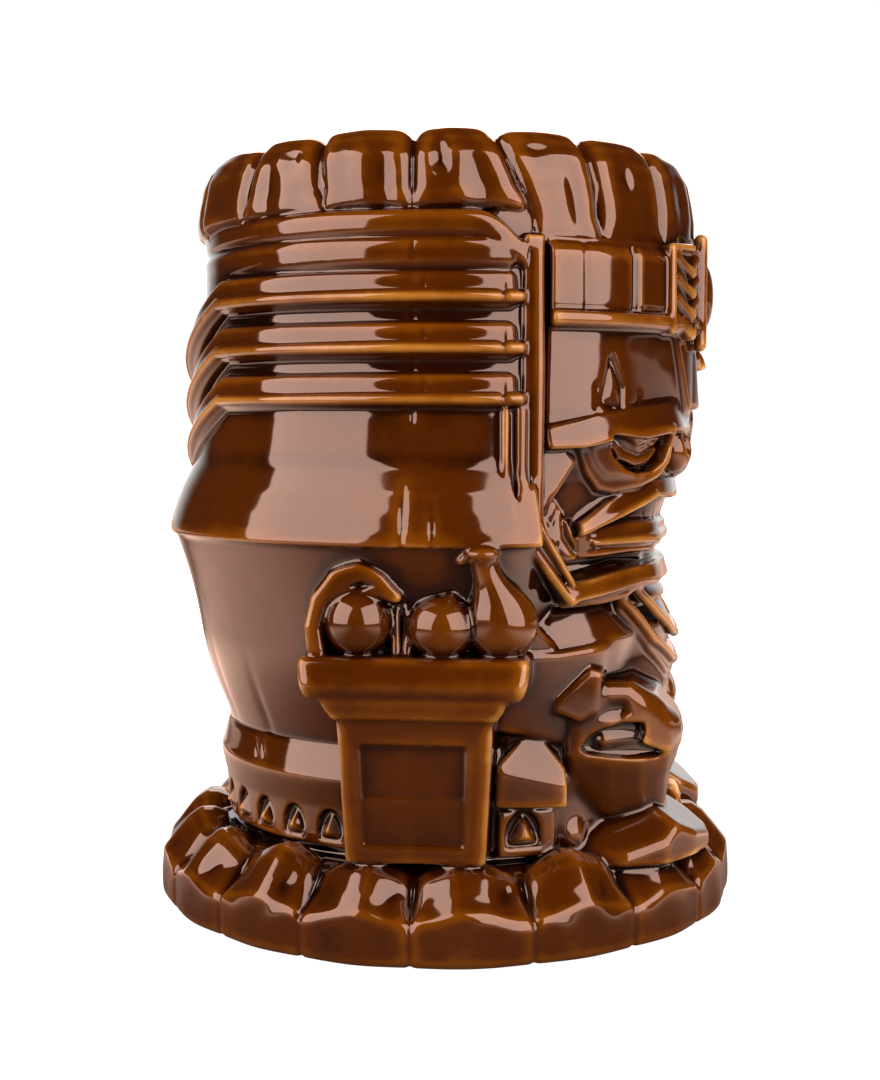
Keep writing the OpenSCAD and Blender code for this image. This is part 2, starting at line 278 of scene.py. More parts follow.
# ---- cup and base
def model_cup():
    """The plain wall that carries the carving, open above the lip."""
    block, a, z, r = clay.part()
    ring = np.maximum(r - (WALL_R - 0.4), np.where(z > LIP_Z - 1, INNER_R - r, -FAR))
    clay.add("cup_wall", block, rounded(ring, z - (HEIGHT - 1.3), 1.4) + 0 * a, 0.1)


def model_base():
    """The plinth, and the ring of stone lobes round it."""
    block, a, z, r = clay.part(z1=24)
    profile = polygon(r, z, [(30, 0.3), (56, 0.3), (57, 4), (56.6, 7), (50.5, 14.4), (47, 15.6), (30, 15.8)])
    clay.add("base_plinth", block, profile + 0 * a, 0.4)
    grooves = [-9, 9, 27, 47, 68, 90.3, 111, 131, 151, 171, 189]
    for i, (g0, g1) in enumerate(zip(grooves[:-1], grooves[1:])):
        half = (g1 - g0) / 2
        centre = (g0 + g1) / 2
        block, a, z, r = clay.part(g0 - 2, g1 + 2, -2, 22, 44, 64)
        t = (a - centre) / half
        lift = (0.9 * np.cos(math.pi * t) + 0.4 * math.sin(2.4 * i)) * ease(z, 4, 9)
        reach = 0.25 * np.cos(math.pi * t) - 0.2
        reach = reach + 0.16 * np.sin(t * 6.5 + 1.7 * i) * ease(z, 0.5, 3) * ease(9 - z, 0, 3)
        # Two flat facets meet on a ridge that runs down the slope of the lobe.
        ridge = 1.5 * np.abs(t - 0.3 * math.sin(1.9 * i + 0.5)) * ease(z, 7, 13)
        outline = [(46.2, 0.7), (BASE_R - 0.8, 0.7), (BASE_R - 0.1, 1.6), (BASE_R, 4), (BASE_R - 0.1, 9.4),
                   (56.6, 12.4), (53.8, 15.6), (51.4, 17.2), (49.0, 17.2), (46.2, 16.0)]
        body = polygon(r - reach, z - lift, outline) + ridge - 0.4
        dent = 0.5 * bump(t, -0.45 + 0.2 * math.sin(i), 0.22) * bump(z, 12, 2.6)
        side = along(np.abs(a - centre) - half, r) + 0.12
        k = 0.8 + 2.2 * ease(z, 6, 12)
        clay.add("base_lobes", block, smax(body + dent, side, k), 0.2)


# ---- crown
def model_crown():
    """The ring of tall lobes round the rim."""
    # Each groove leans: its angle at the top, and at the foot of the crown.
    grooves = [(-10, -9), (11, 9), (31, 29), (52.5, 49.5), (73.5, 65), (91, 90.6), (113, 108.5),
               (131, 133.5), (156, 155), (173, 173), (187, 187)]
    tops = [149.2, 149.4, 149.8, 150.0, 150.4, 150.3, 149.8, 149.2, 148.8, 149.2]
    # Hollows and ridges left by the thumb: lobe, place across, height, width, reach up and down, depth.
    marks = [(4, 0.42, 144.6, 0.16, 3.6, 1.5), (4, -0.28, 140.5, 0.22, 5.2, 1.1),
             (4, 0.1, 138.0, 0.2, 2.2, -0.7), (5, -0.42, 141.0, 0.20, 5.0, 1.2),
             (5, 0.5, 141.5, 0.22, 6.0, 0.9), (5, 0.05, 144, 0.16, 4.5, -0.6),
             (6, 0.30, 140.5, 0.22, 4.2, 1.2), (6, -0.35, 145.0, 0.24, 3.2, 0.9),
             (6, -0.55, 139, 0.2, 3, 0.6), (7, 0.1, 139.5, 0.35, 3.6, 1.1), (7, -0.5, 143.5, 0.2, 5, 0.7),
             (3, 0.3, 145.5, 0.3, 2.6, 1.0), (3, -0.35, 138, 0.2, 6, 1.1), (2, 0.2, 142.0, 0.22, 4, 1.1),
             (2, -0.4, 137, 0.2, 4, 0.8), (1, 0.0, 140, 0.3, 5, 0.9), (8, -0.2, 143, 0.3, 4, 1.0),
             (8, 0.4, 139, 0.2, 4, 0.8), (9, 0.25, 142, 0.25, 5, 0.9), (0, 0.35, 143, 0.25, 5, 0.7)]
    for i, (g0, g1) in enumerate(zip(grooves[:-1], grooves[1:])):
        foot = 130.4 if i < 4 else CROWN_Z + 0.3
        block, a, z, r = clay.part(min(g0) - 2, max(g1) + 2, foot - 5, HEIGHT + 3, 41, 56)
        t = np.clip((HEIGHT - z) / (HEIGHT - 131), 0, 1.1)
        left = g0[0] + (g0[1] - g0[0]) * t
        right = g1[0] + (g1[1] - g1[0]) * t
        half = (right - left) / 2
        s = (a - (left + right) / 2) / half
        top = tops[i] - 0.5 * s * s
        outline = [(41, foot), (49.4, foot), (50.6, foot + 1.0), (CROWN_R + 0.1, 138),
                   (CROWN_R - 0.3, 141.5), (49.6, 145.2), (48.2, HEIGHT - 2.2), (46.4, HEIGHT - 0.5),
                   (44.2, HEIGHT), (41, HEIGHT - 1.0)]
        body = polygon(r, z + HEIGHT - top, outline)
        side = along(np.abs(a - (left + right) / 2) - half, r)
        hollow = 0
        for lobe, across, high, wide, tall, depth in marks:
            if lobe == i:
                hollow = hollow + 0.62 * depth * bump(s, across, 1.25 * wide) * bump(z, high, tall)
        k = 1.6 + 2.4 * ease(z, foot, foot + 5)
        clay.add("crown_lobes", block, smax(body, side + 0.05, k) - 0.25 + hollow, 0.2)
    # Narrow slivers that show between some of the lobes.
    for a0, a1 in ((111.6, 109.6), (74.0, 70.0), (52.8, 50.6), (132.4, 133.2)):
        block, a, z, r = clay.part(a1 - 6, a0 + 6, CROWN_Z - 2, HEIGHT + 2, 41, 56)
        t = (HEIGHT - z) / (HEIGHT - CROWN_Z)
        mid = a0 + (a1 - a0) * t
        off = along(np.abs(a - mid), r) - 1.5
        body = polygon(r, z, [(41, CROWN_Z + 1), (49, CROWN_Z + 1), (49.8, 140), (48.4, 145),
                              (45.4, 148.6), (41, 148.8)])
        clay.add("crown_lobes", block, smax(body, off, 1.6), 0.3)


# ---- hood and cape
def chevron(a):
    """How far the cape has turned down at an angle."""
    return np.maximum(a - TURN_A, 0) / (180 - TURN_A) * TURN_DROP


def model_hood():
    """The hood's shell, with its flare over the robe."""
    block, a, z, r = clay.part(HOOD_A - 8, 180, HEM_Z - 8, CROWN_Z + 3)
    # The flare stands out most on the side panel and ends beside the altar.
    outline = [(30, HEM_Z), (57.0, HEM_Z), (56.6, HEM_Z + 2.4), (55.5, 81.4), (54.1, 85), (51.8, 89.6),
               (51.4, 91), (51.3, 99), (HOOD_R, 101.5), (HOOD_R, 126), (49.8, 129), (49.8, CROWN_Z),
               (30, CROWN_Z)]
    back = 1.3 * ease(a, 110, 160) * ease(z, 88, 100)
    shell = polygon(r + back, z, outline)
    clay.add("hood_shell", block, rounded(shell, along(66 - a, r), 0.5), 0.5)
    groove([(92, 88.4), (92, 76)], 55.4, 1.0, 0.26)
    groove([(86.5, 84), (86.5, 76)], 56.0, 0.5, 0.2)


def model_cape():
    """Three lipped bands that turn down to a point at the back."""
    for k, name in enumerate(BANDS):
        top = BAND_TOP - BAND_PITCH * k
        block, a, z, r = clay.part(HOOD_A - 6, 180, top - 28, top + 4, 46, 57)
        lean = chevron(a)
        # Distances shrink where the band runs steeply, so that it keeps its thickness.
        steep = np.where(a > TURN_A, 0.88, 1.0)
        zz = z + lean
        start = HOOD_A - 0.6
        rr = r - 0.35 * ease(a, 120, 170)
        face = polygon(rr, zz, [(48, top - 5), (52.3, top - 4.2), (51.9, top - 0.6), (51.2, top), (48, top)])
        face = rounded(face * steep, along(start - a, r), 2.0)
        clay.add(name, block, face, 0.3)
        lip = polygon(rr, zz, [(49, top - 5.6), (52.4, top - 5.5), (53.1, top - 4.8), (52.9, top - 4.0),
                               (52.0, top - 3.6), (49, top - 3.6)])
        lip = smax(lip * steep, along(start - 1.2 - a, r), 1.4) - 0.15
        clay.add(name, block, lip, 0.35)
        # A narrow step on the underside of each band.
        step = polygon(rr, zz, [(49, top - 6.6), (51.2, top - 6.4), (51.7, top - 5.4), (49, top - 5)])
        clay.add(name, block, smax(step * steep, along(start + 0.6 - a, r), 0.8), 0.4)
        groove([(72.6, top - 0.4), (72.6, top - 4.6)], 52.6, 0.6, 0.3)
        groove([(88.4, top - 0.9), (88.4, top - 3.0)], 52.2, 0.35, 0.2)
        groove([(90.6, top - 6.8), (90.6, top - 8.8)], 50.8, 0.4, 0.25)


def model_cornices():
    """The two mouldings above the cape; the upper one drops at the face."""
    block, a, z, r = clay.part(FACE_A - 2, 180, 118, 139, 46, 57)
    arch = 7.0 * ease(80 - a, 0, 15.5) ** 1.6
    away = 3.0 * ease(a, 100, 160)
    upper = polygon(r + away, z + arch, [(47, 130.6), (51.4, 130.7), (52.1, 131.5), (52.2, 134.0),
                                         (51.5, 135.0), (47, 135.4)])
    clay.add("cornice_upper", block, smax(upper, along(65.8 - a, r), 1.0) - 0.1, 0.5)
    lower = polygon(r + away, z, [(47, 124.9), (51.3, 124.9), (52.1, 125.9), (52.4, 129.0), (51.9, 130.2),
                                  (47, 130.4)])
    clay.add("cornice_lower", block, smax(lower, along(69.4 - a, r), 2.2), 0.5)
    groove([(90.5, 129.2), (90.5, 126.4)], 52.4, 0.4, 0.25)


def model_hood_edge():
    """The hood's front edge: a bead, a flat band behind it, and the strap that runs to the chin."""
    strap = [(69.2, 79), (68.4, 76.4), (64, 70.6), (57.6, 64.2), (56.2, 64.6), (56.4, 68.6), (62.2, 76.0),
             (64, 79.4)]
    raised("hood_edge_right", strap, 40, 50.6, 0.6, 0.4,
           tilt=lambda a, z: 2.2 * ease(z, 65, 80) - 0.9 * ease(62 - a, 0, 6))
    raised("hood_edge_right", [(68.2, 131), (68.2, 78), (63.9, 78), (63.9, 131)], 40, 52.3, 0.5, 0.3)
    bead("hood_edge_right", [(65.2, 128.2), (65.2, 79.0), (57.6, 68.2)], 51.9, 0.8, 0.3)
    bead("hood_edge_right", [(68.9, 99.4), (68.9, 77.6), (57.4, 64.8)], 51.5, 1.0, 0.3)
    groove([(67.2, 128), (67.2, 78.6), (57.5, 66.5)], 52.2, 0.6, 0.4)
    bead("hood_shell", [(72.2, 99.6), (72.2, 84), (72.6, 70.6)], 52.2, 0.7, 0.3)
    groove([(70.4, 99.5), (70.4, 77)], 52.5, 1.6, 0.4)
    groove([(63.3, 129), (63.3, 82), (62.6, 78.6), (56.6, 70.8)], 51.6, 5.0, 0.45, 0.3)


# ---- robe and belt
def model_robe():
    """The robe, which bellies out from the belt to the hood's hem."""
    block, a, z, r = clay.part(44, 180, 30, HEM_Z + 2)
    belly = [(44.2, 34), (45.4, 39), (48.0, 45), (50.2, 52), (51.5, 60), (53.4, 68), (56.2, HEM_Z + 1)]
    outline = [(30, 34), *eased(belly), (30, HEM_Z + 1)]
    fold = 0.35 * bump(a, 133, 1.6) * bump(z, 42, 8) + 0.3 * bump(a, 152, 2.5) * bump(z, 50, 12)
    # In front of the side panel the robe falls away towards the throat.
    fold = fold + 6.5 * ease(76 - a, 0, 20) * ease(z, 44, 66)
    clay.add("robe", block, smax(polygon(r + fold, z, outline), along(50 - a, r), 2.0), 0.5)


def model_belt():
    """The belt in two parts, and the studded niches along the lower one."""
    block, a, z, r = clay.part(52, 180, 15, 42, 40, 52)
    skirt = [(30, 17.4), (45.4, 17.6), (45.7, 19.5), (45.8, 25.4), (46.8, 29.8), (47.0, 31.0),
             (46.6, 32.0), (45.3, 37.0), (30, 37.3)]
    profile = polygon(r, z, skirt) + 0 * a
    clay.add("belt_upper", block, np.where(z > BELT_PARTING, profile, profile + 0.01), 0.3)
    # The same skirt again, a hair larger below the parting, so that the lower belt gets its name there.
    clay.add("belt_lower", block, np.where(z <= BELT_PARTING, profile, profile + 0.02) - 0.005, 0.0001)
    groove([(139.0, 35.6), (136.6, 32.4)], 46.2, 0.6, 0.3)
    groove([(135.6, 35.4), (133.6, 32.6)], 46.2, 0.6, 0.3)
    # One large stud beside the altar, and a row of smaller ones from behind it to the back.
    for angle in (66, *(112.5 + 11 * k for k in range(7))):
        beside = angle < HOOD_A
        surface = 47.2 if beside else 45.8
        half = 4.3 if beside else 3.4
        block, a, z, r = clay.part(angle - 8, angle + 8, 15, 29)
        u = along(a - angle, 46)
        arch = np.where(z > 21.4, np.hypot(u, (z - 21.4) * 0.82), np.abs(u)) - math.radians(half) * 46
        niche = rounded(arch, 18.9 - z, 0.6)
        clay.cut(block, rounded(niche, surface - 1.3 - r, 0.4), 0.35)
        v = z - 19.3
        rise = r - (surface - 1.2)
        size = 2.7 if beside else 2.25
        left = 0.80 * -u + 0.44 * v + 0.62 * rise - size
        right = 0.80 * u + 0.44 * v + 0.62 * rise - size
        under = -v * 0.9 + rise * 0.6 - 0.1
        clay.add("belt_studs", block, smax(smax(left, right, 0.3), under, 0.3), 0.3)


def model_chest():
    """The plain body behind the limbs."""
    block, a, z, r = clay.part(0, HOOD_A + 4, 14, 70)
    outline = [(30, 16), (45.6, 17.4), (46.3, 22), (46.3, 40), (48.4, 52), (49.6, 57), (44.4, 67), (30, 68)]
    fall = 2.6 * ease(46 - a, 0, 14) * ease(z, 42, 56)
    clay.add("chest", block, smax(polygon(r + fall, z, outline), along(a - HOOD_A, r), 1.0), 0.6)
    # The wall beside the altar, under the robe's front edge.
    raised("chest", [(72, 17), (72, 26), (58, 26), (58, 17)], 40, 47.2, 0.8, 0.8)


# ---- head
def model_face():
    """The plate that carries the face: forehead, temple and jaw."""
    block, a, z, r = clay.part(0, FACE_A + 2, 62, CROWN_Z)
    outline = [(30, 60), (45.8, 62), (46.2, 66), (45.6, 70), (46.2, 75), (47.4, 80), (47.8, 86), (48.8, 92),
               (50.4, 96), (50.8, 104), (51.3, 114), (51.3, 131), (30, 133)]
    plate = polygon(r + set_back(a, z), z, outline)
    clay.add("face_plate", block, smax(plate, along(a - 63.4, r), 0.8), 0.5)
    # A raised edge ends the flat forehead; beyond it the brow turns to the front.
    raised("face_plate", [(27, 116), (17, 100), (6, 100), (12, 116)], 40, 51.9, 0.8, 1.2,
           tilt=lambda a, z: -0.10 * (a - 14) * ease(16 - a, 0, 4))
    wedge = [(47.4, 110.5), (43.6, 104), (43.4, 99), (49.8, 101)]
    block, a, z, r = clay.part(40, 54, 96, 113)
    flat = polygon(along(a), z, wrapped(wedge))
    clay.cut(block, rounded(flat, 50.9 - r - 0.6 * (flat + 1.4), 0.4), 0.5)
    groove([(50.8, 104.2), (50.6, 98.4)], 51.3, 0.6, 0.35)
    groove([(38.2, 102.6), (40.2, 99.4), (43.2, 95.2)], 51.6, 1.1, 0.45)


def model_headband():
    """The band over the forehead, and the ledge under it."""
    block, a, z, r = clay.part(0, FACE_A + 2, 112, 133, 46, 58)
    pleat = 0.22 * bump(a, 55, 0.7) + 1.0 * bump(a, 42.4, 0.6) - 0.25 * bump(a, 40.4, 0.8)
    band = polygon(r + pleat, z, [(48, 117.6), (52.3, 117.6), (52.8, 119.0), (52.8, 128.0), (51.8, 129.8),
                                  (48, 130.2)])
    clay.add("headband", block, smax(band, along(a - 63.2, r), 1.0), 0.3)
    ledge = polygon(r, z, [(48, 114.7), (53.0, 114.8), (53.9, 115.6), (53.8, 117.2), (53.2, 117.7),
                           (48, 117.7)])
    clay.add("headband_ledge", block, smax(ledge, along(a - 63.2, r), 0.8), 0.3)


def model_plaque():
    """The side plaque of the headband: a frame round stacked chevrons, and the crest over the brow."""
    plate = [(31.4, 114.4), (31.4, 130.8), (13.5, 131.4), (13.5, 114.4)]
    raised("headband_plaque_right", plate, 40, 52.9, 0.5, 0.3)
    bead("headband_plaque_right", [(30.6, 115), (30.6, 130.2)], 53.2, 1.0, 0.3)
    bead("headband_plaque_right", [(30.6, 130.6), (20, 131)], 53.2, 0.8, 0.3)
    for k in range(4):
        top = 130.4 - 3.9 * k
        vee = [(28.8, top), (22.6, top - 3.4), (16.2, top), (16.2, top - 2.0), (22.6, top - 5.6),
               (28.8, top - 2.0)]
        raised("headband_plaque_right", vee, 48, 54.2, 0.35, 0.2,
               tilt=lambda a, z: 0.9 * bump(a, 22.6, 2.2) - 0.4)
    bead("headband_plaque_right", [(14.0, 112.6), (14.0, 133.0)], 53.4, 1.3, 0.3)
    block, a, z, r = clay.part(0, 16, 108, 138, 46, 60)
    u = along(a, 52)
    shield = polygon(u, z, [(-7, 134), (7, 134), (8.6, 129), (7.4, 119), (0, 112.6), (-7.4, 119),
                            (-8.6, 129)])
    clay.add("crest_plate", block, rounded(shield, r - 53.4, 0.9), 0.5)
    clay.add("crest_plate", block, ball(u, z, r, (0, 123, 52.6), (4.6, 7.2, 2.5), 3.2), 0.5)
    # The pendant is a drop that widens downwards.
    drop = ball(u, z, r, (0, 107, 51.4), (2.4 + 0.22 * (112 - z), 5.4, 2.6), 2.8)
    clay.add("brow_pendant", block, np.where(np.abs(z - 107) < 8, drop, FAR), 0.4)


def model_brow():
    """The brow's heavy ledge, and the lids that hang from it."""
    block, a, z, r = clay.part(0, FACE_A + 2, 80, 108, 44, 57)
    u = along(a)
    ledge = polygon(u, z, wrapped([(66, 96.4), (51, 99.2), (35.5, 100.8), (15, 102.2), (-5, 104),
                                   (-5, 95), (10, 96), (27, 95.8), (30, 94.4), (38, 93.8), (46, 94.2),
                                   (55, 92.8), (66, 92.6)]))
    low = 93.0 + 3.4 * ease(56 - a, 0, 40)
    rise = 52.9 - 0.30 * (z - low) - 2.4 * ease(32 - a, 0, 24)
    clay.add("brow_ridge", block, smax(rounded(ledge, r - rise, 0.5), along(a - 63.2, r), 0.8), 0.5)
    # The thick lid that rings the eye, and a step outside it.
    ring = [(55.4, 93.6), (52.2, 88.0), (48.8, 84.8), (44.7, 84.2), (36.5, 85.2), (31, 87), (27.6, 90),
            (27, 97), (54, 96)]
    lid = polygon(u, z, wrapped(ring))
    clay.add("brow_ridge", block, rounded(lid, r - 49.8 - 0.14 * (z - 87) - 0.12 * along(45 - a), 0.5), 0.4)
    inner = [(52.4, 94), (50.4, 89.8), (47.4, 87.4), (37, 87.2), (30, 89.4), (27, 97), (54, 96)]
    lid = polygon(u, z, wrapped(inner))
    clay.add("brow_ridge", block, rounded(lid, r - 50.6 - 0.16 * (z - 90) - 0.12 * along(45 - a), 0.6), 0.4)


def model_eye():
    """The eye in its socket, with a rim and an upper lid."""
    block, a, z, r = clay.part(22, 54, 84, 100, 42, 57)
    u = along(a)
    socket = polygon(u, z, wrapped([(47.6, 95.2), (45.6, 91.4), (42, 89.0), (38.3, 88.0), (33.6, 88.4),
                                    (30, 90.2), (28.6, 93.2), (29, 95.4), (38, 94.4)]))
    clay.cut(block, rounded(socket, 48.2 - r, 0.3), 0.3)
    clay.add("eye_right", block, ball(u, z, r, (along(37.6), 93.4, 48.2), (6.4, 3.8, 2.6), 3.4), 0.3)
    bead("eye_right", [(45.6, 93.8), (43, 91.2), (38.3, 89.9), (34, 90.4), (30.6, 92.4)], 49.4, 0.75, 0.2)
    groove([(44.6, 94.2), (41.6, 92.2), (37.4, 91.3), (33.4, 92.2)], 50.6, 1.2, 0.4, 0.2)
    # The upper lid dips in the middle.
    lid = [(46.6, 95.6), (42, 94.4), (39.4, 92.9), (36.6, 93.6), (34.4, 92.9), (31, 94.6), (30, 97), (46, 98)]
    raised("brow_ridge", lid, 40, 51.6, 0.4, 0.3)


def model_nose():
    """A low broad nose, with its wings."""
    block, a, z, r = clay.part(0, 36, 80, 106, 40, 58)
    x, y, zz = cartesian(a, z, r)
    wing = ball(x, y, zz, (46.2, -13.8, 92.0), (4.3, 5.0, 4.4), 4.5)
    tip = ball(x, y, zz, (47.0, 0, 91.4), (3.9, 7.4, 5.2), 4.8)
    bridge = ball(x, y, zz, (47.8, 0, 98), (3.6, 4.8, 6), 4.2)
    clay.add("nose", block, smin(smin(wing, tip, 1.5), bridge, 2.0), 0.4)
    clay.cut(block, ball(x, y, zz, (49.6, -15.2, 93.4), (2.0, 1.9, 2.3)), 0.4)


def model_mouth():
    """Cheek, lips and the bars of the jaw."""
    # Cheek: a flat plate by the hood, broken by a leaf-shaped groove, with a hollow beside it.
    cheek = [(63.4, 92.6), (57.6, 92.4), (55.0, 90.4), (60.6, 83.6), (57.2, 80), (55.8, 76.6),
             (53.8, 73.4), (57.0, 71.0), (60.6, 74), (63.4, 78.4)]
    raised("cheek_right", cheek, 40, 50.2, 0.4, 0.3)
    lens = [(57.2, 86.2), (61.6, 83.6), (63.0, 80.4), (61.4, 77.6), (59.6, 81.2), (58.0, 84)]
    block, a, z, r = clay.part(54, 66, 74, 90)
    flat = polygon(along(a), z, wrapped(lens))
    clay.cut(block, rounded(flat + 0.2, 49.9 - r - 0.8 * (flat + 0.8), 0.3), 0.3)
    # The fold from the nose to the corner of the mouth.
    groove([(55.2, 84), (58.4, 80.4), (57.8, 76.6), (55.2, 73.6)], 50.4, 1.7, 0.6, 0.4)
    # Upper lip: a bar that rises steeply to the front, its lower edge proud.
    bar = [(54.2, 79.0), (46, 83.0), (38, 85.2), (30, 86.4), (14, 86.8), (-6, 86.6), (-6, 82.2),
           (14, 82.4), (28.6, 83.4), (38.3, 81.0), (48.4, 78.2), (53.8, 76.8)]
    raised("upper_lip", bar, 40, 49.5, 0.4, 0.3,
           tilt=lambda a, z: 0.24 * (84 - z) - 0.6 * ease(a, 30, 54))
    bead("upper_lip", [(53.8, 77.2), (48.4, 78.8), (38.3, 81.5), (28.6, 83.8)], 49.6, 0.75, 0.3)
    # Lower lip: a wedge, then a narrow bar under it.
    wedge = [(52.8, 77.0), (46, 78.2), (38, 78.8), (14, 78.4), (-6, 78.2), (-6, 76.0), (14, 76.0),
             (36.8, 76.0), (49.4, 76.0)]
    raised("lower_lip", wedge, 40, 48.9, 0.4, 0.3, tilt=lambda a, z: -0.3 * (z - 77))
    bar = [(51.0, 76.0), (36, 76.2), (14, 76.2), (-6, 76.2), (-6, 73.8), (14, 74), (38, 74.6), (50.4, 74.6)]
    raised("lower_lip", bar, 40, 49.9, 0.5, 0.3)
    jaw = [(56.4, 74.6), (50, 74.0), (36, 74.2), (14, 74), (-6, 74), (-6, 72.2), (14, 72.4), (38, 72.8),
           (50, 72.4), (57.4, 72.6)]
    raised("lower_lip", jaw, 40, 48.7, 0.4, 0.3)
    block, a, z, r = clay.part(0, 60, 67, 74)
    chin = polygon(along(a), z, wrapped([(57.8, 72.2), (50, 72.4), (38.3, 72.9), (14, 72.6), (-6, 72.4),
                                         (-6, 70.4), (20, 70.4), (40, 71.0), (54.8, 69.0)]))
    clay.cut(block, rounded(chin, 44.6 - r, 0.4), 0.3)
    # Block teeth in the open mouth.
    for a0 in np.arange(1.2, 40, 7.4):
        raised("lower_lip", [(a0, 82), (a0 + 6.6, 82), (a0 + 6.6, 78), (a0, 78)], 40, 47.4, 0.5, 0.2)


def model_strap():
    """The strap under the chin, with a beaded lower edge."""
    strap = [(58.4, 67.6), (56.2, 68.4), (46, 69.4), (35.5, 70.2), (20, 70.6), (-6, 70.6), (-6, 66.6),
             (20, 66.8), (35, 67.0), (46, 65.6), (57.6, 64.6)]
    raised("chin_strap", strap, 40, 49.3, 0.4, 0.4,
           tilt=lambda a, z: 0.22 * (70 - z) + 2.2 * ease(a, 40, 60))
    beads = [(57.6, 64.3), (48, 64.5), (40, 65.3), (34, 67.0), (18, 67), (-4, 66.8)]
    bead("chin_strap", beads, 48.4, 1.0, 0.3)


def model_collar():
    """Two bars that fall from the jaw to a point on the chest."""
    bar = [(40.5, 64.6), (25, 56), (12, 51), (-6, 48), (-6, 45.2), (14, 47), (26, 52.6), (40, 61.4)]
    raised("collar", bar, 40, 47.4, 0.4, 0.3)
    bead("collar", [(40.1, 64.4), (26.4, 55.6), (12, 50.4), (-6, 47.6)], 47.6, 1.1, 0.3)
    bead("collar", [(34.6, 65.8), (24.5, 60.6), (12, 55.8), (-6, 53)], 47.8, 1.0, 0.3)
    groove([(37.2, 65.2), (25.5, 58.1), (12, 53), (-6, 50.4)], 47.6, 1.2, 0.5)


# ---- arms and legs
def solid(name, planes, region, edge, soft):
    """A faceted block: the inside of planes given as a normal and a point on each."""
    block, a, z, r = clay.part(*region)
    x, y, zz = cartesian(a, z, r)
    d = None
    for normal, point in planes:
        n = Vector(normal).normalized()
        e = (x - point[0]) * n[0] + (y - point[1]) * n[1] + (zz - point[2]) * n[2]
        d = e if d is None else smax(d, e, edge)
    clay.add(name, block, d, soft)


def model_limbs():
    """Sleeve, hand, leg and foot of the seated figure, and the cloth between the feet."""
    # Sleeve: its upper edge is a straight seam, its lower edge falls to the lap.
    sleeve = [(73, 56.0), (60, 55.7), (50, 56.4), (36, 57), (34, 50), (46, 38), (54, 37), (62, 38.6),
              (67, 40), (73, 41)]
    raised("arm_right", sleeve, 40, 50.0, 1.2, 0.8,
           tilt=lambda a, z: 0.20 * (z - 50) - 4.5 * ease(52 - a, 0, 16))
    # The robe's front fold, from the hood down to the seam.
    fold = [(73, 66), (69.6, 66), (66.4, 62.4), (60.6, 57.4), (58.6, 55.6), (73, 55.4)]
    raised("arm_right", fold, 40, 50.4, 0.9, 0.4, tilt=lambda a, z: 0.12 * (z - 56) - 0.06 * (66 - a))
    block, a, z, r = clay.part(6, 68, 14, 60, 39, 63)
    x, y, zz = cartesian(a, z, r)
    side = polygon(x, zz, [(26, 50), (39, 48.8), (43.7, 45.6), (48.6, 40.6), (49.4, 38), (48.2, 33.5),
                           (46.6, 30), (45.4, 21), (26, 21)])
    plan = [(22, -12), (44, -12), (48.8, -14), (49.8, -21), (49.0, -27.6), (46, -32.8), (41, -36.6),
            (35, -39.2), (28, -40.4), (22, -41)]
    top = polygon(x, y, plan)
    # Below the knee the shin leans in.
    lean = polygon(x, y - 0.5 * np.maximum(36 - zz, 0), plan)
    leg = smax(side, lean, 3.0)
    clay.add("leg_right", block, leg, 0.6)
    # Hand laid over the knee: the whole upper part is a little fuller and ends in a soft edge.
    edge = polygon(x, zz, [(30.4, 53), (27, 43), (29.2, 35.8), (39, 33.6), (45.4, 33.8), (47.4, 35.4),
                           (52, 36), (52, 53)])
    clay.add("hand_right", block, smax(leg - 0.35, edge, 1.2), 0.6)
    hollow = polygon(x, zz, [(29.5, 37.1), (31, 39.3), (33.4, 40.7), (37.4, 41.7), (41.1, 41.4),
                             (41.3, 39.3), (40.6, 37.6), (44.8, 35.4), (44, 34.6), (39, 34.8),
                             (30.6, 36.0)])
    clay.cut(block, smax(hollow, -2.3 - top, 0.9), 0.7)
    finger = rod(x, y, zz, (33.6, -36.4, 38.2), (38.6, -33.8, 38.2), 1.7, 1.3)
    clay.add("hand_right", block, finger, 0.6)
    # A shallow hollow between thumb and knuckles.
    knuckle = polygon(x, zz, [(33.4, 43.4), (34.8, 45.8), (37.6, 45.8), (38.2, 44), (36.4, 42.6)])
    clay.cut(block, smax(knuckle, -0.7 - top, 1.4), 1.2)
    # Forearm: a flat facet from the sleeve to the hand.
    facet = polygon(x, zz, [(31.2, 52.4), (33.6, 51.4), (32.6, 44.0), (29.4, 42.2), (24.6, 44.2),
                            (24.8, 46.6)])
    forearm = smax(facet, -(y + 41.9 - 0.30 * (x - 29)), 0.8)
    clay.add("hand_right", block, forearm, 0.5)
    # Foot: a wedge whose top falls to the toe and to the outer side, where a low wall stands under it.
    sole = polygon(x, y, [(22, -12), (50, -12), (54.0, -15.6), (54.4, -21), (51.6, -28.8), (46.0, -35.4),
                          (38, -38.0), (27, -38.0), (22, -34)])
    slope = smax(0.71 * (zz - 25.4) - 0.71 * (y + 28.8), 0.85 * (zz - 25.4) + 0.53 * (x - 41.6), 1.0)
    foot = smax(sole, smax(slope, zz - 25.4, 1.0), 1.0)
    clay.add("foot_right", block, foot, 0.4)
    heel = ball(x, y, zz, (27.0, -34.4, 19.6), (3.4, 3.6, 4.4))
    clay.add("foot_right", block, heel, 0.8)
    # The tip of the loincloth between the feet, on the middle line.
    cloth = smax(np.abs(y) * 0.86 - 7.0, np.maximum(x - 49.4 + 0.25 * (zz - 20), 17.2 - zz), 1.6)
    cloth = smax(cloth, 0.7 * np.abs(y) + 0.7 * (zz - 27.5), 1.2)
    clay.add("chest", block, cloth, 0.8)


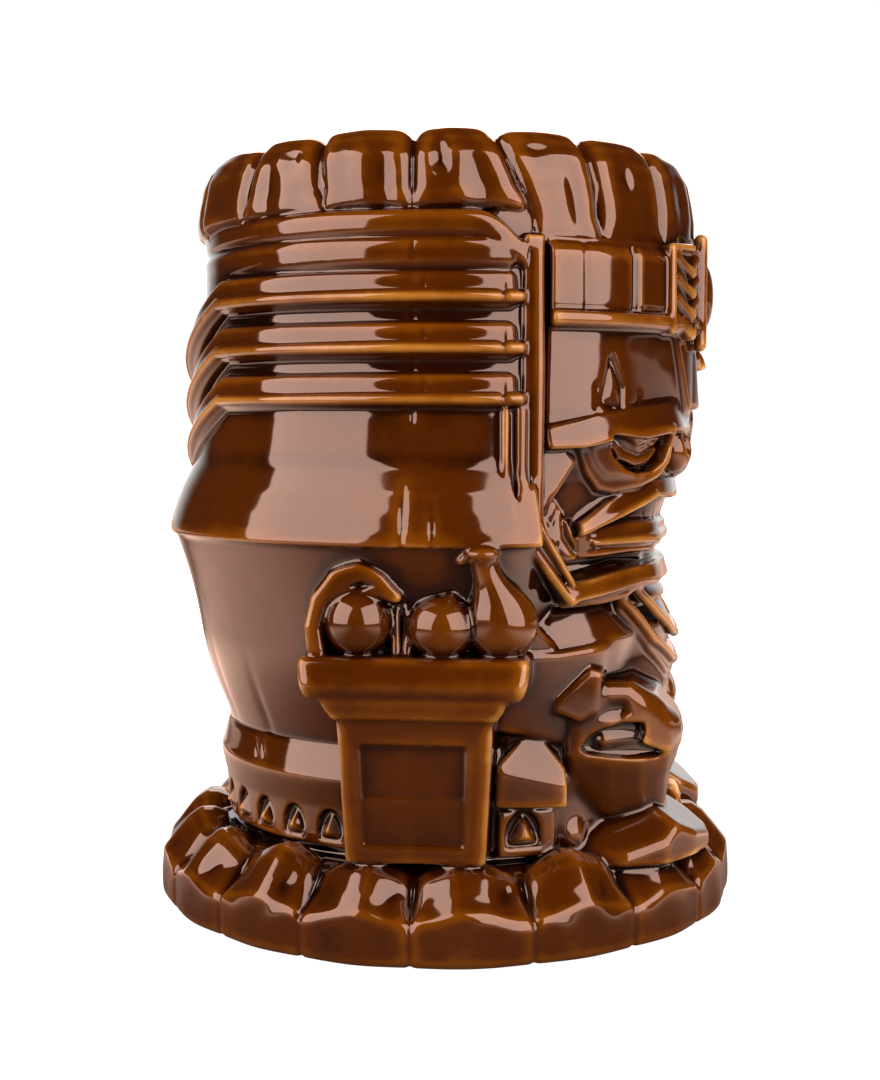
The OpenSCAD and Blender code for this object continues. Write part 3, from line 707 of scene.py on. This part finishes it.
def model_block():
    """The gabled stone between the altar and the leg."""
    planes = [((0.24, -0.97, 0.0), (19, -46.0, 30)), ((0.31, -0.85, 0.42), (19, -46.0, 33.2)),
              ((1, 0.35, 0.0), (26.6, -42, 30)), ((-1, 0.1, 0.05), (14.4, -44, 30)),
              ((0.75, 0.1, 0.62), (25.0, -42, 36)), ((-0.75, 0.1, 0.62), (16.2, -44, 36.8)),
              ((0, -0.1, -1), (20, -44, 26.8)), ((0, 0.1, 1), (20, -44, 40.6))]
    solid("stone_block_right", planes, (54, 78, 22, 46), 0.35, 0.3)


# ---- altars
def model_altar():
    """The altar at the figure's side: a column with a sunk panel, a stepped neck and a slab."""
    block, a, z, r = clay.part(54, 125, 13, 60, 39, 63)
    x, y, zz = cartesian(a, z, r)
    up = zz - BASE_Z
    # Column: wider and further out towards the top.
    width = 12.75 + up * 0.052
    front = -(y + 52.4 + up * 0.085)
    column = rounded(rounded(np.abs(x) - width, front, 0.9), np.maximum(zz - 45.4, 17.6 - zz), 0.4)
    clay.add("altar_column_right", block, column, 0.3)
    # A sunk panel in its face, the lower part less deep than the upper.
    span = np.abs(x + 0.3) - 9.4 - (zz - 30) * 0.03
    panel = rounded(span, np.abs(zz - 30.4) - 9.4, 0.4)
    clay.cut(block, np.maximum(panel, -(0.65 + front)), 0.3)
    lower = rounded(span + 0.3, np.abs(zz - 25.6) - 4.4, 0.3)
    clay.add("altar_column_right", block, rounded(lower, front + 0.42, 0.25), 0.2)
    # Stepped neck under the slab.
    for low, high, grow in ((44.4, 46.0, 0.7), (45.6, 48.6, 1.5)):
        step = rounded(np.abs(x) - 14.3 - grow - (zz - low) * 0.45,
                       -(y + 55.0 + grow * 0.5 + (zz - low) * 0.5), 0.8)
        neck = rounded(step, np.abs(zz - (low + high) / 2) - (high - low) / 2, 0.35)
        clay.add("altar_column_right", block, neck, 0.2)
    # Slab: its edge leans back above, and curls under below.
    low, high = SLAB_Z
    ends = np.abs(x) - (SLAB_HALF - 0.3)
    edge = -(y + ALTAR_Y - 0.4)
    slab = rounded(ends, edge, 2.6)
    slab = smax(slab, -0.94 * (y + ALTAR_Y - 0.5) + 0.34 * (zz - low - 3.2), 0.8)
    slab = smax(slab, -0.80 * (y + ALTAR_Y - 0.6) - 0.6 * (zz - low - 2.2), 1.0)
    slab = smax(slab, 0.85 * ends - 0.5 * (zz - low - 2.6), 1.2)
    slab = rounded(slab, np.abs(zz - (low + high) / 2) - 4.0, 1.1)
    clay.add("altar_slab_right", block, slab, 0.3)


def model_offerings():
    """What stands on the altar: two fruits, a leaf, a string of beads and a gourd."""
    block, a, z, r = clay.part(56, 124, 53, 79, 39, 63)
    x, y, zz = cartesian(a, z, r)
    top = SLAB_Z[1]
    stand = -(zz - top + 0.2)
    fruit = ball(x, y, zz, (-10.2, -52.2, top + 6.0), (6.3, 6.3, 6.3 / 0.98))
    clay.add("round_fruit_right", block, smax(fruit, stand, 0.8), 0.3)
    small = ball(x, y, zz, (5.0, -52.4, top + 5.1), (6.3, 5.6, 5.8))
    small = smin(small, ball(x, y, zz, (6.4, -53.0, top + 10.4), (1.2, 1.2, 1.0)), 0.9)
    clay.add("small_fruit_right", block, smax(small, stand, 0.8), 0.3)
    for bx in (-3.3, -1.2):
        string = rod(x, y, zz, (bx, -53.6, top), (bx, -52.6, top + 9.0), 0.85, 0.75)
        clay.add("bead_string_right", block, string, 0.15)
    # The leaf that curls over the round fruit, from the lower left to its point at the right.
    path = [(-17.7, top + 0.8), (-18.2, top + 5.2), (-17.1, top + 10.0), (-13.9, top + 13.4),
            (-10.0, top + 14.3), (-6.0, top + 13.0), (-2.9, top + 10.6)]
    curl = line(x, zz, path)
    thick = 1.4 + 1.0 * ease(x, -18, -12) - 1.5 * ease(x, -8, -2)
    blade = smax(curl - thick, -(y + 55.9), 0.7)
    clay.add("fruit_leaf_right", block, blade, 0.3)
    slot = polygon(x, zz, [(-12.4, top + 12.4), (-9.2, top + 13.4), (-6.6, top + 12.6), (-9.0, top + 12.2)])
    clay.cut(block, rounded(slot, y + 54.6, 0.3), 0.3)
    # Gourd: a round body, a neck that leans back, and a flared lip with a beak.
    body = ball(x, y, zz, (15.4, -50.9, top + 5.6), (6.7, 6.6, 6.8))
    neck = rod(x, y, zz, (14.6, -53.0, top + 10.0), (12.4, -54.6, top + 17.4), 2.9, 2.2)
    lip = ball(x, y, zz, (12.2, -54.8, top + 18.6), (3.2, 2.7, 1.1))
    beak = rod(x, y, zz, (11.4, -54.8, top + 18.4), (8.4, -55.0, top + 17.0), 1.0, 0.7)
    jug = smin(smin(body, neck, 4.0), lip, 1.2)
    jug = smin(jug, beak, 0.8)
    clay.add("gourd_right", block, smax(jug, stand, 0.8), 0.4)


def model_all():
    """Presses on the parts in their order, later ones over earlier ones."""
    for step in (model_cup, model_base, model_chest, model_robe, model_belt, model_hood, model_cape,
                 model_cornices, model_face, model_headband, model_hood_edge, model_crown, model_plaque,
                 model_brow, model_eye, model_nose, model_mouth, model_strap, model_collar, model_limbs,
                 model_block, model_altar, model_offerings):
        step()


# ---- from the field to one surface
def blurred(f, size):
    """A Gaussian blur, with size in millimetres."""
    for axis, step in enumerate((math.radians(STEP_A) * 50, STEP_Z, STEP_R)):
        s = size / step
        reach = max(1, math.ceil(2.4 * s))
        taps = np.exp(-0.5 * (np.arange(-reach, reach + 1) / s) ** 2)
        taps /= taps.sum()
        # The half model mirrors at its two ends; heights and radii carry on as they end.
        mode = "symmetric" if axis == 0 else "edge"
        padded = np.pad(f, [(reach, reach) if k == axis else (0, 0) for k in range(3)], mode=mode)
        out = np.zeros_like(f)
        for k, w in enumerate(taps):
            part = [slice(None)] * 3
            part[axis] = slice(k, k + f.shape[axis])
            out += np.float32(w) * padded[tuple(part)]
        f = out
    return f


def whole(half):
    """Both halves of the figure, from the right one."""
    return np.concatenate([half, half[::-1]], axis=0)


def gathered(grid, p):
    """The values of a grid at fractional places, by linear interpolation, round in angle."""
    lap, high, deep = grid.shape
    low = np.floor(p).astype(np.int32)
    t = (p - low).astype(np.float32)
    low[:, 1] = np.clip(low[:, 1], 0, high - 2)
    low[:, 2] = np.clip(low[:, 2], 0, deep - 2)
    out = 0
    for i, j, k in product((0, 1), repeat=3):
        weight = 1
        for axis, far in enumerate((i, j, k)):
            weight = weight * (t[:, axis] if far else 1 - t[:, axis])
        out = out + weight * grid[(low[:, 0] + i) % lap, low[:, 1] + j, low[:, 2] + k]
    return out


def net_points(f, cells):
    """One point for each cell that the surface passes: the mean of where it crosses the cell's edges."""
    lap = f.shape[0]
    corner = {}
    for i, j, k in product((0, 1), repeat=3):
        corner[i, j, k] = f[(cells[:, 0] + i) % lap, cells[:, 1] + j, cells[:, 2] + k]
    total = np.zeros((len(cells), 3), np.float32)
    crossings = np.zeros(len(cells), np.float32)
    for axis, u, v in product(range(3), (0, 1), (0, 1)):
        start = [u, v]
        start.insert(axis, 0)
        end = list(start)
        end[axis] = 1
        a, b = corner[tuple(start)], corner[tuple(end)]
        hit = (a < 0) != (b < 0)
        place = np.tile(np.array(start, np.float32), (len(cells), 1))
        place[:, axis] = np.where(hit, a / np.where(hit, a - b, 1), 0)
        total += place * hit[:, None]
        crossings += hit
    return cells + total / crossings[:, None]


def surface_net(f):
    """Places of the surface's points in grid units, and its four-sided faces, for a field of distances."""
    lap = f.shape[0]
    inside = f < 0
    count = inside.astype(np.uint8)
    count = count + np.roll(count, -1, 0)
    count = count[:, :-1] + count[:, 1:]
    count = count[:, :, :-1] + count[:, :, 1:]
    cells = np.argwhere((count > 0) & (count < 8)).astype(np.int32)
    number = np.full(count.shape, -1, np.int32)
    number[tuple(cells.T)] = np.arange(len(cells))
    faces = []
    for axis in range(3):
        # Each grid edge that crosses the surface gets a face between the four cells round it.
        change = inside != np.roll(inside, -1, axis)
        part = [slice(None)] * 3
        for k in (1, 2):
            part[k] = slice(0, -1) if k == axis else slice(1, f.shape[k] - 1)
        offset = [s.start or 0 for s in part]
        edges = np.argwhere(change[tuple(part)]).astype(np.int32) + np.array(offset, np.int32)
        u, v = (axis + 1) % 3, (axis + 2) % 3
        ring = []
        for du, dv in ((-1, -1), (0, -1), (0, 0), (-1, 0)):
            cell = edges.copy()
            cell[:, u] += du
            cell[:, v] += dv
            ring.append(number[cell[:, 0] % lap, cell[:, 1], cell[:, 2]])
        ring = np.stack(ring, 1)
        outward = inside[tuple(edges.T)]
        ring[outward] = ring[outward][:, ::-1]
        faces.append(ring)
    return net_points(f, cells), np.concatenate(faces)


def edge_keys(faces, point_count):
    """The edges of four-sided faces as pairs of points, side by side, and one number for each edge."""
    ends = np.concatenate([faces[:, [k, (k + 1) % 4]] for k in range(4)])
    key = np.sort(ends, 1).astype(np.int64)
    return ends, key[:, 0] * point_count + key[:, 1]


def patches(count, a, b):
    """A number for each face, the same for faces that are linked by the pairs a, b."""
    group = np.arange(count)
    while True:
        low = np.minimum(group[a], group[b])
        before = group.copy()
        np.minimum.at(group, a, low)
        np.minimum.at(group, b, low)
        group = group[group]
        group = group[group]
        if (group == before).all():
            return group


def fuse_islands(face_tags, faces, point_count):
    """Gives small patches of a tag to their neighbours, and faces that meet four at an edge all one tag."""
    _, key = edge_keys(faces, point_count)
    owner = np.tile(np.arange(len(faces)), 4)
    order = np.argsort(key, kind="stable")
    same = key[order][:-1] == key[order][1:]
    left, right = owner[order][:-1][same], owner[order][1:][same]
    for _ in range(3):
        joined = face_tags[left] == face_tags[right]
        group = patches(len(faces), left[joined], right[joined])
        small = np.bincount(group, minlength=len(faces))[group] < SMALLEST_PATCH
        touch = small[left] != small[right]
        a, b = left[touch], right[touch]
        mine = np.where(small[a], a, b)
        theirs = np.where(small[a], b, a)
        choice = dict(zip(group[mine].tolist(), face_tags[theirs].tolist()))
        for g, tag in choice.items():
            face_tags[group == g] = tag
    _, first, times = np.unique(key[order], return_index=True, return_counts=True)
    pinched = owner[order][first[times == 4][:, None] + np.arange(4)]
    for _ in range(4):
        np.minimum.at(face_tags, pinched, face_tags[pinched].min(1, keepdims=True))
    return face_tags


def grid_to_mm(p):
    """Grid units to millimetres: the angle in radians, and the place in the object's frame."""
    t = np.radians((p[:, 0] + 0.5) * (180 / len(clay.a)))
    z = clay.z[0] + p[:, 1] * STEP_Z
    r = clay.r[0] + p[:, 2] * STEP_R
    return t, r, np.stack([r * np.cos(t), -r * np.sin(t), z], 1)


def unit(vectors):
    """Each vector at length 1."""
    return vectors / np.linalg.norm(vectors, axis=1)[:, None]


def ripple(p, waves, longest, shortest, height):
    """A sum of waves in space: its value and its slope at each point."""
    value = np.zeros(len(p))
    slope = np.zeros((len(p), 3))
    for _ in range(waves):
        length = RIPPLES.uniform(shortest, longest)
        direction = RIPPLES.normal(size=3)
        k = direction / np.linalg.norm(direction) * 2 * math.pi / length
        phase = RIPPLES.uniform(0, 2 * math.pi)
        high = height * math.sqrt(2 / waves) * (length / longest)
        value += high * np.sin(p @ k + phase)
        slope += high * np.cos(p @ k + phase)[:, None] * k
    return value, slope


def tags_of(points, faces, lap):
    """The clay's tag at the middle of each face, and whether the face is on the figure's left."""
    corners = points[faces].copy()
    # A face across the seam of the grid has points at both of its ends.
    wide = np.ptp(corners[:, :, 0], axis=1) > 10
    start = corners[wide, :, 0]
    corners[wide, :, 0] = np.where(start < lap / 2, start + lap, start)
    centre = corners.mean(1)
    place = np.rint(centre).astype(np.int32)
    folded = place[:, 0] % lap
    folded = np.where(folded >= lap // 2, lap - 1 - folded, folded)
    _, high, deep = clay.tag.shape
    tags = clay.tag[folded, place[:, 1].clip(0, high - 1), place[:, 2].clip(0, deep - 1)]
    return tags, (centre[:, 0] % lap + 0.5) > lap / 2


def sculpted():
    """The carved surface: points, normals, how the glaze lies at each point and where shade is painted into
    hollows, faces and their tags.
    """
    half = blurred(clay.field, GLAZE_COAT)
    # The broad measure finds hollows, where the glaze pools and shade is painted in; the fine one finds
    # edges, where the glaze runs thin.
    fine, broad = (whole((blurred(half, size) - half) / size**2) for size in (EDGE_REACH, POOL_AND_SHADE_REACH))
    field = whole(half)
    points, faces = surface_net(field)
    down = [(np.roll(field, -1, 0) - np.roll(field, 1, 0)) / 2]
    down += [np.gradient(field, axis=1), np.gradient(field, axis=2)]
    # The points slide along the slope onto the surface itself.
    home = points.copy()
    for _ in range(3):
        value = gathered(field, points)
        slope = np.stack([gathered(g, points) for g in down], 1)
        points = points - slope * (value / np.maximum((slope**2).sum(1), 1e-4))[:, None]
        points = np.clip(points, home - 0.7, home + 0.7)
    slope = np.stack([gathered(g, points) for g in down], 1)
    t, radius, mm = grid_to_mm(points)
    da = slope[:, 0] / (radius * math.radians(180 / len(clay.a)))
    dz = slope[:, 1] / STEP_Z
    dr = slope[:, 2] / STEP_R
    normals = unit(np.stack([dr * np.cos(t) - da * np.sin(t), -dr * np.sin(t) - da * np.cos(t), dz], 1))
    glaze_and_shade = {"edge": gathered(fine, points), "pool_and_painted_shade": gathered(broad, points)}
    tags, mirrored = tags_of(points, faces, len(field))
    value, bend = ripple(mm, 10, 46, 22, WARP)
    fine_value, fine_bend = ripple(mm, 14, 7.5, 3.2, ORANGE_PEEL)
    bend = bend + fine_bend
    mm = mm + normals * (value + fine_value)[:, None]
    bend -= normals * (bend * normals).sum(1)[:, None]
    return mm, unit(normals - bend), glaze_and_shade, faces, tags, mirrored


# ---- meshes
def piece(name, mesh, nodes, material):
    """Adds a mesh to the scene as a piece that stands for CAD nodes."""
    made = bpy.data.objects.new(name, mesh)
    bpy.context.scene.collection.objects.link(made)
    mesh.materials.append(material)
    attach(made, "root")
    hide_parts(*nodes)
    return made


def mesh_of(name, points, faces):
    """A mesh of four-sided faces, from points in millimetres."""
    mesh = bpy.data.meshes.new(name)
    mesh.vertices.add(len(points))
    mesh.vertices.foreach_set("co", (np.asarray(points) * MM).astype(np.float32).ravel())
    mesh.loops.add(len(faces) * 4)
    mesh.loops.foreach_set("vertex_index", np.asarray(faces, np.int32).ravel())
    mesh.polygons.add(len(faces))
    mesh.polygons.foreach_set("loop_start", np.arange(0, len(faces) * 4, 4, dtype=np.int32))
    mesh.update(calc_edges=True)
    return mesh


def shell(name, points, normals, values, faces):
    """A closed slab of clay with the faces as its front, and smooth normals on the front."""
    used, local = np.unique(faces, return_inverse=True)
    local = local.reshape(-1, 4)
    n = len(used)
    front, back = points[used], points[used] - normals[used] * THICK
    ends, key = edge_keys(local, n)
    _, first, times = np.unique(key, return_index=True, return_counts=True)
    rim = ends[first[times == 1]]
    walls = np.stack([rim[:, 1], rim[:, 0], rim[:, 0] + n, rim[:, 1] + n], 1)
    all_faces = np.concatenate([local, local[:, ::-1] + n, walls])
    mesh = mesh_of(name, np.concatenate([front, back]), all_faces)
    smooth = np.zeros(len(all_faces), bool)
    smooth[: len(local)] = True
    mesh.polygons.foreach_set("use_smooth", smooth)
    loops = np.zeros((len(all_faces), 4, 3), np.float32)
    loops[: len(local)] = normals[used][local]
    flat = np.zeros(len(mesh.polygons) * 3, np.float32)
    mesh.polygons.foreach_get("normal", flat)
    loops[len(local) :] = flat.reshape(-1, 1, 3)[len(local) :]
    mesh.normals_split_custom_set(loops.reshape(-1, 3))
    for key_name, value in values.items():
        layer = mesh.attributes.new(key_name, "FLOAT", "POINT")
        layer.data.foreach_set("value", np.tile(value[used], 2).astype(np.float32))
    return mesh


def lathe(name, outline, turns=256):
    """A closed ring or disc from a closed outline of radius and height."""
    outline = np.array(outline)
    angles = np.linspace(0, 2 * math.pi, turns, endpoint=False)
    points = np.stack([np.outer(np.cos(angles), outline[:, 0]), np.outer(np.sin(angles), outline[:, 0]),
                       np.tile(outline[:, 1], (turns, 1))], 2).reshape(-1, 3)
    n = len(outline)
    i, j = np.meshgrid(np.arange(turns), np.arange(n), indexing="ij")
    i2, j2 = (i + 1) % turns, (j + 1) % n
    faces = np.stack([i * n + j, i2 * n + j, i2 * n + j2, i * n + j2], 2).reshape(-1, 4)
    mesh = mesh_of(name, points, faces)
    mesh.polygons.foreach_set("use_smooth", np.ones(len(faces), bool))
    return mesh


# ---- materials
def node_material(name):
    """A new material, its nodes and its shader."""
    material = bpy.data.materials.new(name)
    material.use_nodes = True
    tree = material.node_tree
    return material, tree, tree.nodes["Principled BSDF"]


def join(tree, start, end):
    """Links an output to an input."""
    tree.links.new(start, end)


def math_node(tree, kind, a, b=None, c=None):
    """A maths node; each input is a number or another node's output."""
    node = tree.nodes.new("ShaderNodeMath")
    node.operation = kind
    for socket, value in zip(node.inputs, (a, b, c)):
        if value is None:
            continue
        if isinstance(value, (int, float)):
            socket.default_value = value
        else:
            join(tree, value, socket)
    return node.outputs[0]


def noise(tree, scale, detail):
    """A cloudy pattern fixed to the object, with scale clouds to a metre."""
    place = tree.nodes.new("ShaderNodeTexCoord")
    pattern = tree.nodes.new("ShaderNodeTexNoise")
    pattern.inputs["Scale"].default_value = scale
    pattern.inputs["Detail"].default_value = detail
    join(tree, place.outputs["Object"], pattern.inputs["Vector"])
    return pattern.outputs[0]


def attribute(tree, name):
    """A value that the mesh carries at its points."""
    node = tree.nodes.new("ShaderNodeAttribute")
    node.attribute_name = name
    return node.outputs["Fac"]


def ramp(tree, factor, stops):
    """Colours in place of a factor, from stops of a place and a colour."""
    node = tree.nodes.new("ShaderNodeValToRGB")
    node.color_ramp.interpolation = "EASE"
    points = node.color_ramp.elements
    while len(points) < len(stops):
        points.new(0.5)
    for point, (place, colour) in zip(points, stops):
        point.position = place
        point.color = (*colour, 1)
    join(tree, factor, node.inputs[0])
    return node.outputs[0]


def glaze():
    """Brown glaze: thin and tan where clay stands proud, dark where it has run into a hollow, with painted
    shade darkening the hollows further.
    """
    material, tree, shader = node_material("amber_glaze")
    # How thin the glaze lies, from 0 in a deep pool to 1 on a sharp edge; 0.40 is a flat surface. The pool
    # value darkens hollows both as pooled glaze and as painted shade.
    pool_and_painted_shade = attribute(tree, "pool_and_painted_shade")
    proud = math_node(tree, "MULTIPLY", math_node(tree, "MAXIMUM", pool_and_painted_shade, 0.0), 0.30)
    parts = [
        math_node(tree, "MULTIPLY", attribute(tree, "edge"), 0.52),
        math_node(tree, "ADD", proud, math_node(tree, "MINIMUM", pool_and_painted_shade, 0.0)),
        math_node(tree, "MULTIPLY_ADD", noise(tree, 38, 3), 0.34, -0.17),
        math_node(tree, "MULTIPLY_ADD", noise(tree, 420, 2), 0.08, -0.04),
    ]
    place = 0.40
    for value in parts:
        place = math_node(tree, "ADD", value, place)
    # The darkest stops, near 0, are pooled glaze and painted shade in the hollows.
    stops = [(0.0, (0.002, 0.0006, 0.0002)), (0.24, (0.012, 0.0025, 0.0002)),
             (0.43, (0.046, 0.0128, 0.0002)), (0.58, (0.105, 0.037, 0.0008)),
             (0.76, (0.30, 0.165, 0.028)), (1.0, (0.62, 0.44, 0.20))]
    join(tree, ramp(tree, place, stops), shader.inputs["Base Color"])
    shader.inputs["Roughness"].default_value = 0.07
    shader.inputs["IOR"].default_value = 1.52
    shader.inputs["Coat Weight"].default_value = 0.25
    shader.inputs["Coat Roughness"].default_value = 0.03
    return material


def inside_glaze():
    """The plainer glaze of the cup's inside."""
    material, tree, shader = node_material("inside_glaze")
    cloud = noise(tree, 40, 3)
    join(tree, ramp(tree, cloud, [(0.3, (0.035, 0.010, 0.0014)), (0.7, (0.085, 0.027, 0.0035))]),
         shader.inputs["Base Color"])
    shader.inputs["Roughness"].default_value = 0.09
    shader.inputs["Coat Weight"].default_value = 0.3
    return material


def bare_clay():
    """Unglazed clay, with its grain."""
    material, tree, shader = node_material("bare_clay")
    grain = noise(tree, 900, 4)
    join(tree, ramp(tree, grain, [(0.3, (0.40, 0.27, 0.17)), (0.7, (0.56, 0.41, 0.28))]),
         shader.inputs["Base Color"])
    shader.inputs["Roughness"].default_value = 0.9
    relief = tree.nodes.new("ShaderNodeBump")
    relief.inputs["Strength"].default_value = 0.25
    relief.inputs["Distance"].default_value = 0.0002
    join(tree, grain, relief.inputs["Height"])
    join(tree, relief.outputs[0], shader.inputs["Normal"])
    return material


# ---- the pieces
GLAZE = glaze()
INSIDE = inside_glaze()
CLAY = bare_clay()


def make_carving():
    """The carved outside, parted into the pieces' own closed shells."""
    points, normals, glaze_and_shade, faces, tags, mirrored = sculpted()
    # The inside of the cup and the underside are turned separately.
    middle = points[faces].mean(1)
    radius = np.hypot(middle[:, 0], middle[:, 1])
    keep = ~((radius < WALL_R - 1.2) & (middle[:, 2] < LIP_Z)) & ~((radius < 46.4) & (middle[:, 2] < 8))
    faces, tags, mirrored = faces[keep], tags[keep], mirrored[keep]
    labels = np.zeros(len(faces), np.int32)
    names = []
    for k, name in enumerate(PIECES):
        sided = name.endswith("_right")
        for left in (False, True) if sided else (None,):
            own = tags == k if left is None else (tags == k) & (mirrored == left)
            labels[own] = len(names)
            names.append(name.replace("_right", "_left") if left else name)
    labels = fuse_islands(labels, faces, len(points))
    for number, name in enumerate(names):
        own = faces[labels == number]
        mesh = shell("glazed_" + name, points, normals, glaze_and_shade, own)
        piece("glazed_" + name, mesh, [name], GLAZE)


def make_inside():
    """The cup's bore, with a rounded corner at the floor, and the floor itself."""
    top, wall, floor = LIP_Z + 0.5, INNER_R, FLOOR_Z
    liner = [(wall - 0.02, top), (wall, top - 6), (wall, floor + 8)]
    for k in range(9):
        t = math.radians(90 * k / 8)
        liner.append((wall - 5 + 5 * math.cos(t), floor + 5 - 5 * math.sin(t)))
    wall_line = liner + [(wall - 5, floor - 0.6), (wall + 1.2, floor - 0.6), (wall + 1.2, top)]
    piece("glazed_cup_inside", lathe("glazed_cup_inside", wall_line), ["cup_wall"], INSIDE)
    floor_line = [(0.3, floor - 0.02), (wall - 5.2, floor), (wall - 4.6, floor - 0.5),
                  (wall - 0.4, floor - 1), (wall - 0.2, 3.4), (wall - 0.6, 3.0), (0.3, 3.2)]
    piece("glazed_cup_floor", lathe("glazed_cup_floor", floor_line), ["cup_floor"], INSIDE)


def make_foot_ring():
    """The unglazed ring under the base."""
    inner, outer = 40.0, 47.0
    ring = [(inner, 3.4), (inner + 0.1, 0.8), (inner + 0.8, 0.1), (outer - 0.8, 0.0), (outer - 0.1, 0.7),
            (outer, 3.4)]
    piece("clay_foot_ring", lathe("clay_foot_ring", ring), ["foot_ring"], CLAY)


model_all()
make_carving()
make_inside()
make_foot_ring()


# ---- stage, light and camera
WARM = (1.0, 0.64, 0.50)
WHITE = (1.0, 0.97, 0.955)
PINK = (1.0, 0.65, 0.53)
CAMERA_AZIMUTH = math.radians(6)
CAMERA_DISTANCE = 0.342
CAMERA_HEIGHT = 0.099
CAMERA_PITCH = math.radians(4.4)
CAMERA_TURN = math.radians(0.19)
AIM = Vector((0, 0, HEIGHT * MM / 2))
# Each soft box: azimuth from the camera's side towards the right, elevation, distance, width, height
# and radiance.
SOFT_BOXES = {
    "left_box": (-58, 22, 0.60, 0.62, 0.62, 6.2),
    "right_box": (45, 22, 0.60, 0.62, 0.62, 6.2),
    "back_box": (176, 34, 0.80, 0.55, 0.50, 3.0),
}


def smooth_step(tree, value, low, high, start, end):
    """A value's smooth step from start, where it is low, to end, where it is high."""
    node = tree.nodes.new("ShaderNodeMapRange")
    node.interpolation_type = "SMOOTHSTEP"
    for socket, number in (("From Min", low), ("From Max", high), ("To Min", start), ("To Max", end)):
        node.inputs[socket].default_value = number
    join(tree, value, node.inputs["Value"])
    return node.outputs["Result"]


def make_floor():
    """A pale table that ends beyond sight."""
    bpy.ops.mesh.primitive_circle_add(vertices=96, radius=6, fill_type="NGON", location=(0, 0, 0))
    floor = bpy.context.object
    floor.name = "studio_floor"
    material, tree, shader = node_material("white_floor")
    shader.inputs["Base Color"].default_value = (0.05, 0.047, 0.045, 1)
    shader.inputs["Roughness"].default_value = 0.9
    shader.inputs["Specular IOR Level"].default_value = 0.1
    # The table shines beside and behind the mug; the camera sees plain white.
    place = tree.nodes.new("ShaderNodeTexCoord")
    axes = tree.nodes.new("ShaderNodeSeparateXYZ")
    join(tree, place.outputs["Object"], axes.inputs[0])
    reach = tree.nodes.new("ShaderNodeVectorMath")
    reach.operation = "LENGTH"
    join(tree, place.outputs["Object"], reach.inputs[0])
    aside = smooth_step(tree, math_node(tree, "ABSOLUTE", axes.outputs["X"]), 0.04, 0.17, 0.08, 2.1)
    near = smooth_step(tree, reach.outputs["Value"], 0.16, 0.40, 1.0, 0.02)
    behind = smooth_step(tree, axes.outputs["Y"], 0.10, 0.60, 0.0, 0.9)
    glow = math_node(tree, "MAXIMUM", math_node(tree, "MULTIPLY", aside, near), behind)
    rays = tree.nodes.new("ShaderNodeLightPath")
    glow = math_node(tree, "MULTIPLY_ADD", rays.outputs["Is Camera Ray"], 1.0, glow)
    join(tree, glow, shader.inputs["Emission Strength"])
    join(tree, ramp(tree, rays.outputs["Is Camera Ray"], [(0.0, WARM), (1.0, WHITE)]),
         shader.inputs["Emission Color"])
    floor.data.materials.append(material)


def box_light(name, azimuth, elevation, distance, width, height, radiance):
    """A soft box that faces the middle of the mug."""
    a = CAMERA_AZIMUTH + math.radians(azimuth)
    e = math.radians(elevation)
    towards = Vector((math.sin(a) * math.cos(e), -math.cos(a) * math.cos(e), math.sin(e)))
    light = bpy.data.lights.new(name, "AREA")
    light.shape = "RECTANGLE"
    light.size, light.size_y = width, height
    light.energy = radiance * math.pi * width * height
    light.color = PINK
    lamp = bpy.data.objects.new(name, light)
    bpy.context.scene.collection.objects.link(lamp)
    lamp.location = AIM + towards * distance
    lamp.rotation_euler = towards.to_track_quat("Z", "Y").to_euler()


def make_camera():
    """The camera, nearly level, on the figure's right side."""
    camera = bpy.data.cameras.new("camera")
    camera.lens = 54.33
    camera.sensor_width = 36
    camera.dof.use_dof = False
    holder = bpy.data.objects.new("camera", camera)
    bpy.context.scene.collection.objects.link(holder)
    a = CAMERA_AZIMUTH
    holder.location = (CAMERA_DISTANCE * math.sin(a), -CAMERA_DISTANCE * math.cos(a), CAMERA_HEIGHT)
    holder.rotation_euler = (math.pi / 2 - CAMERA_PITCH, 0, a + CAMERA_TURN)
    bpy.context.scene.camera = holder


def make_world():
    """A white backdrop behind the mug and a dim room on the camera's side."""
    world = bpy.data.worlds.new("studio")
    bpy.context.scene.world = world
    world.use_nodes = True
    tree = world.node_tree
    sky = tree.nodes["Background"]
    sky.inputs["Color"].default_value = (*WHITE, 1)
    # Only the camera itself sees white all round.
    place = tree.nodes.new("ShaderNodeTexCoord")
    facing = tree.nodes.new("ShaderNodeVectorMath")
    facing.operation = "DOT_PRODUCT"
    join(tree, place.outputs["Generated"], facing.inputs[0])
    facing.inputs[1].default_value = (-math.sin(CAMERA_AZIMUTH), math.cos(CAMERA_AZIMUTH), 0)
    backdrop = smooth_step(tree, facing.outputs["Value"], 0.72, 0.97, 0.02, 1.1)
    rays = tree.nodes.new("ShaderNodeLightPath")
    seen = math_node(tree, "MULTIPLY", rays.outputs["Is Camera Ray"], 1.15)
    join(tree, math_node(tree, "MAXIMUM", seen, backdrop), sky.inputs["Strength"])


make_floor()
make_world()
make_camera()
for soft_box, sizes in SOFT_BOXES.items():
    box_light(soft_box, *sizes)
bpy.context.scene.view_settings.view_transform = "Standard"
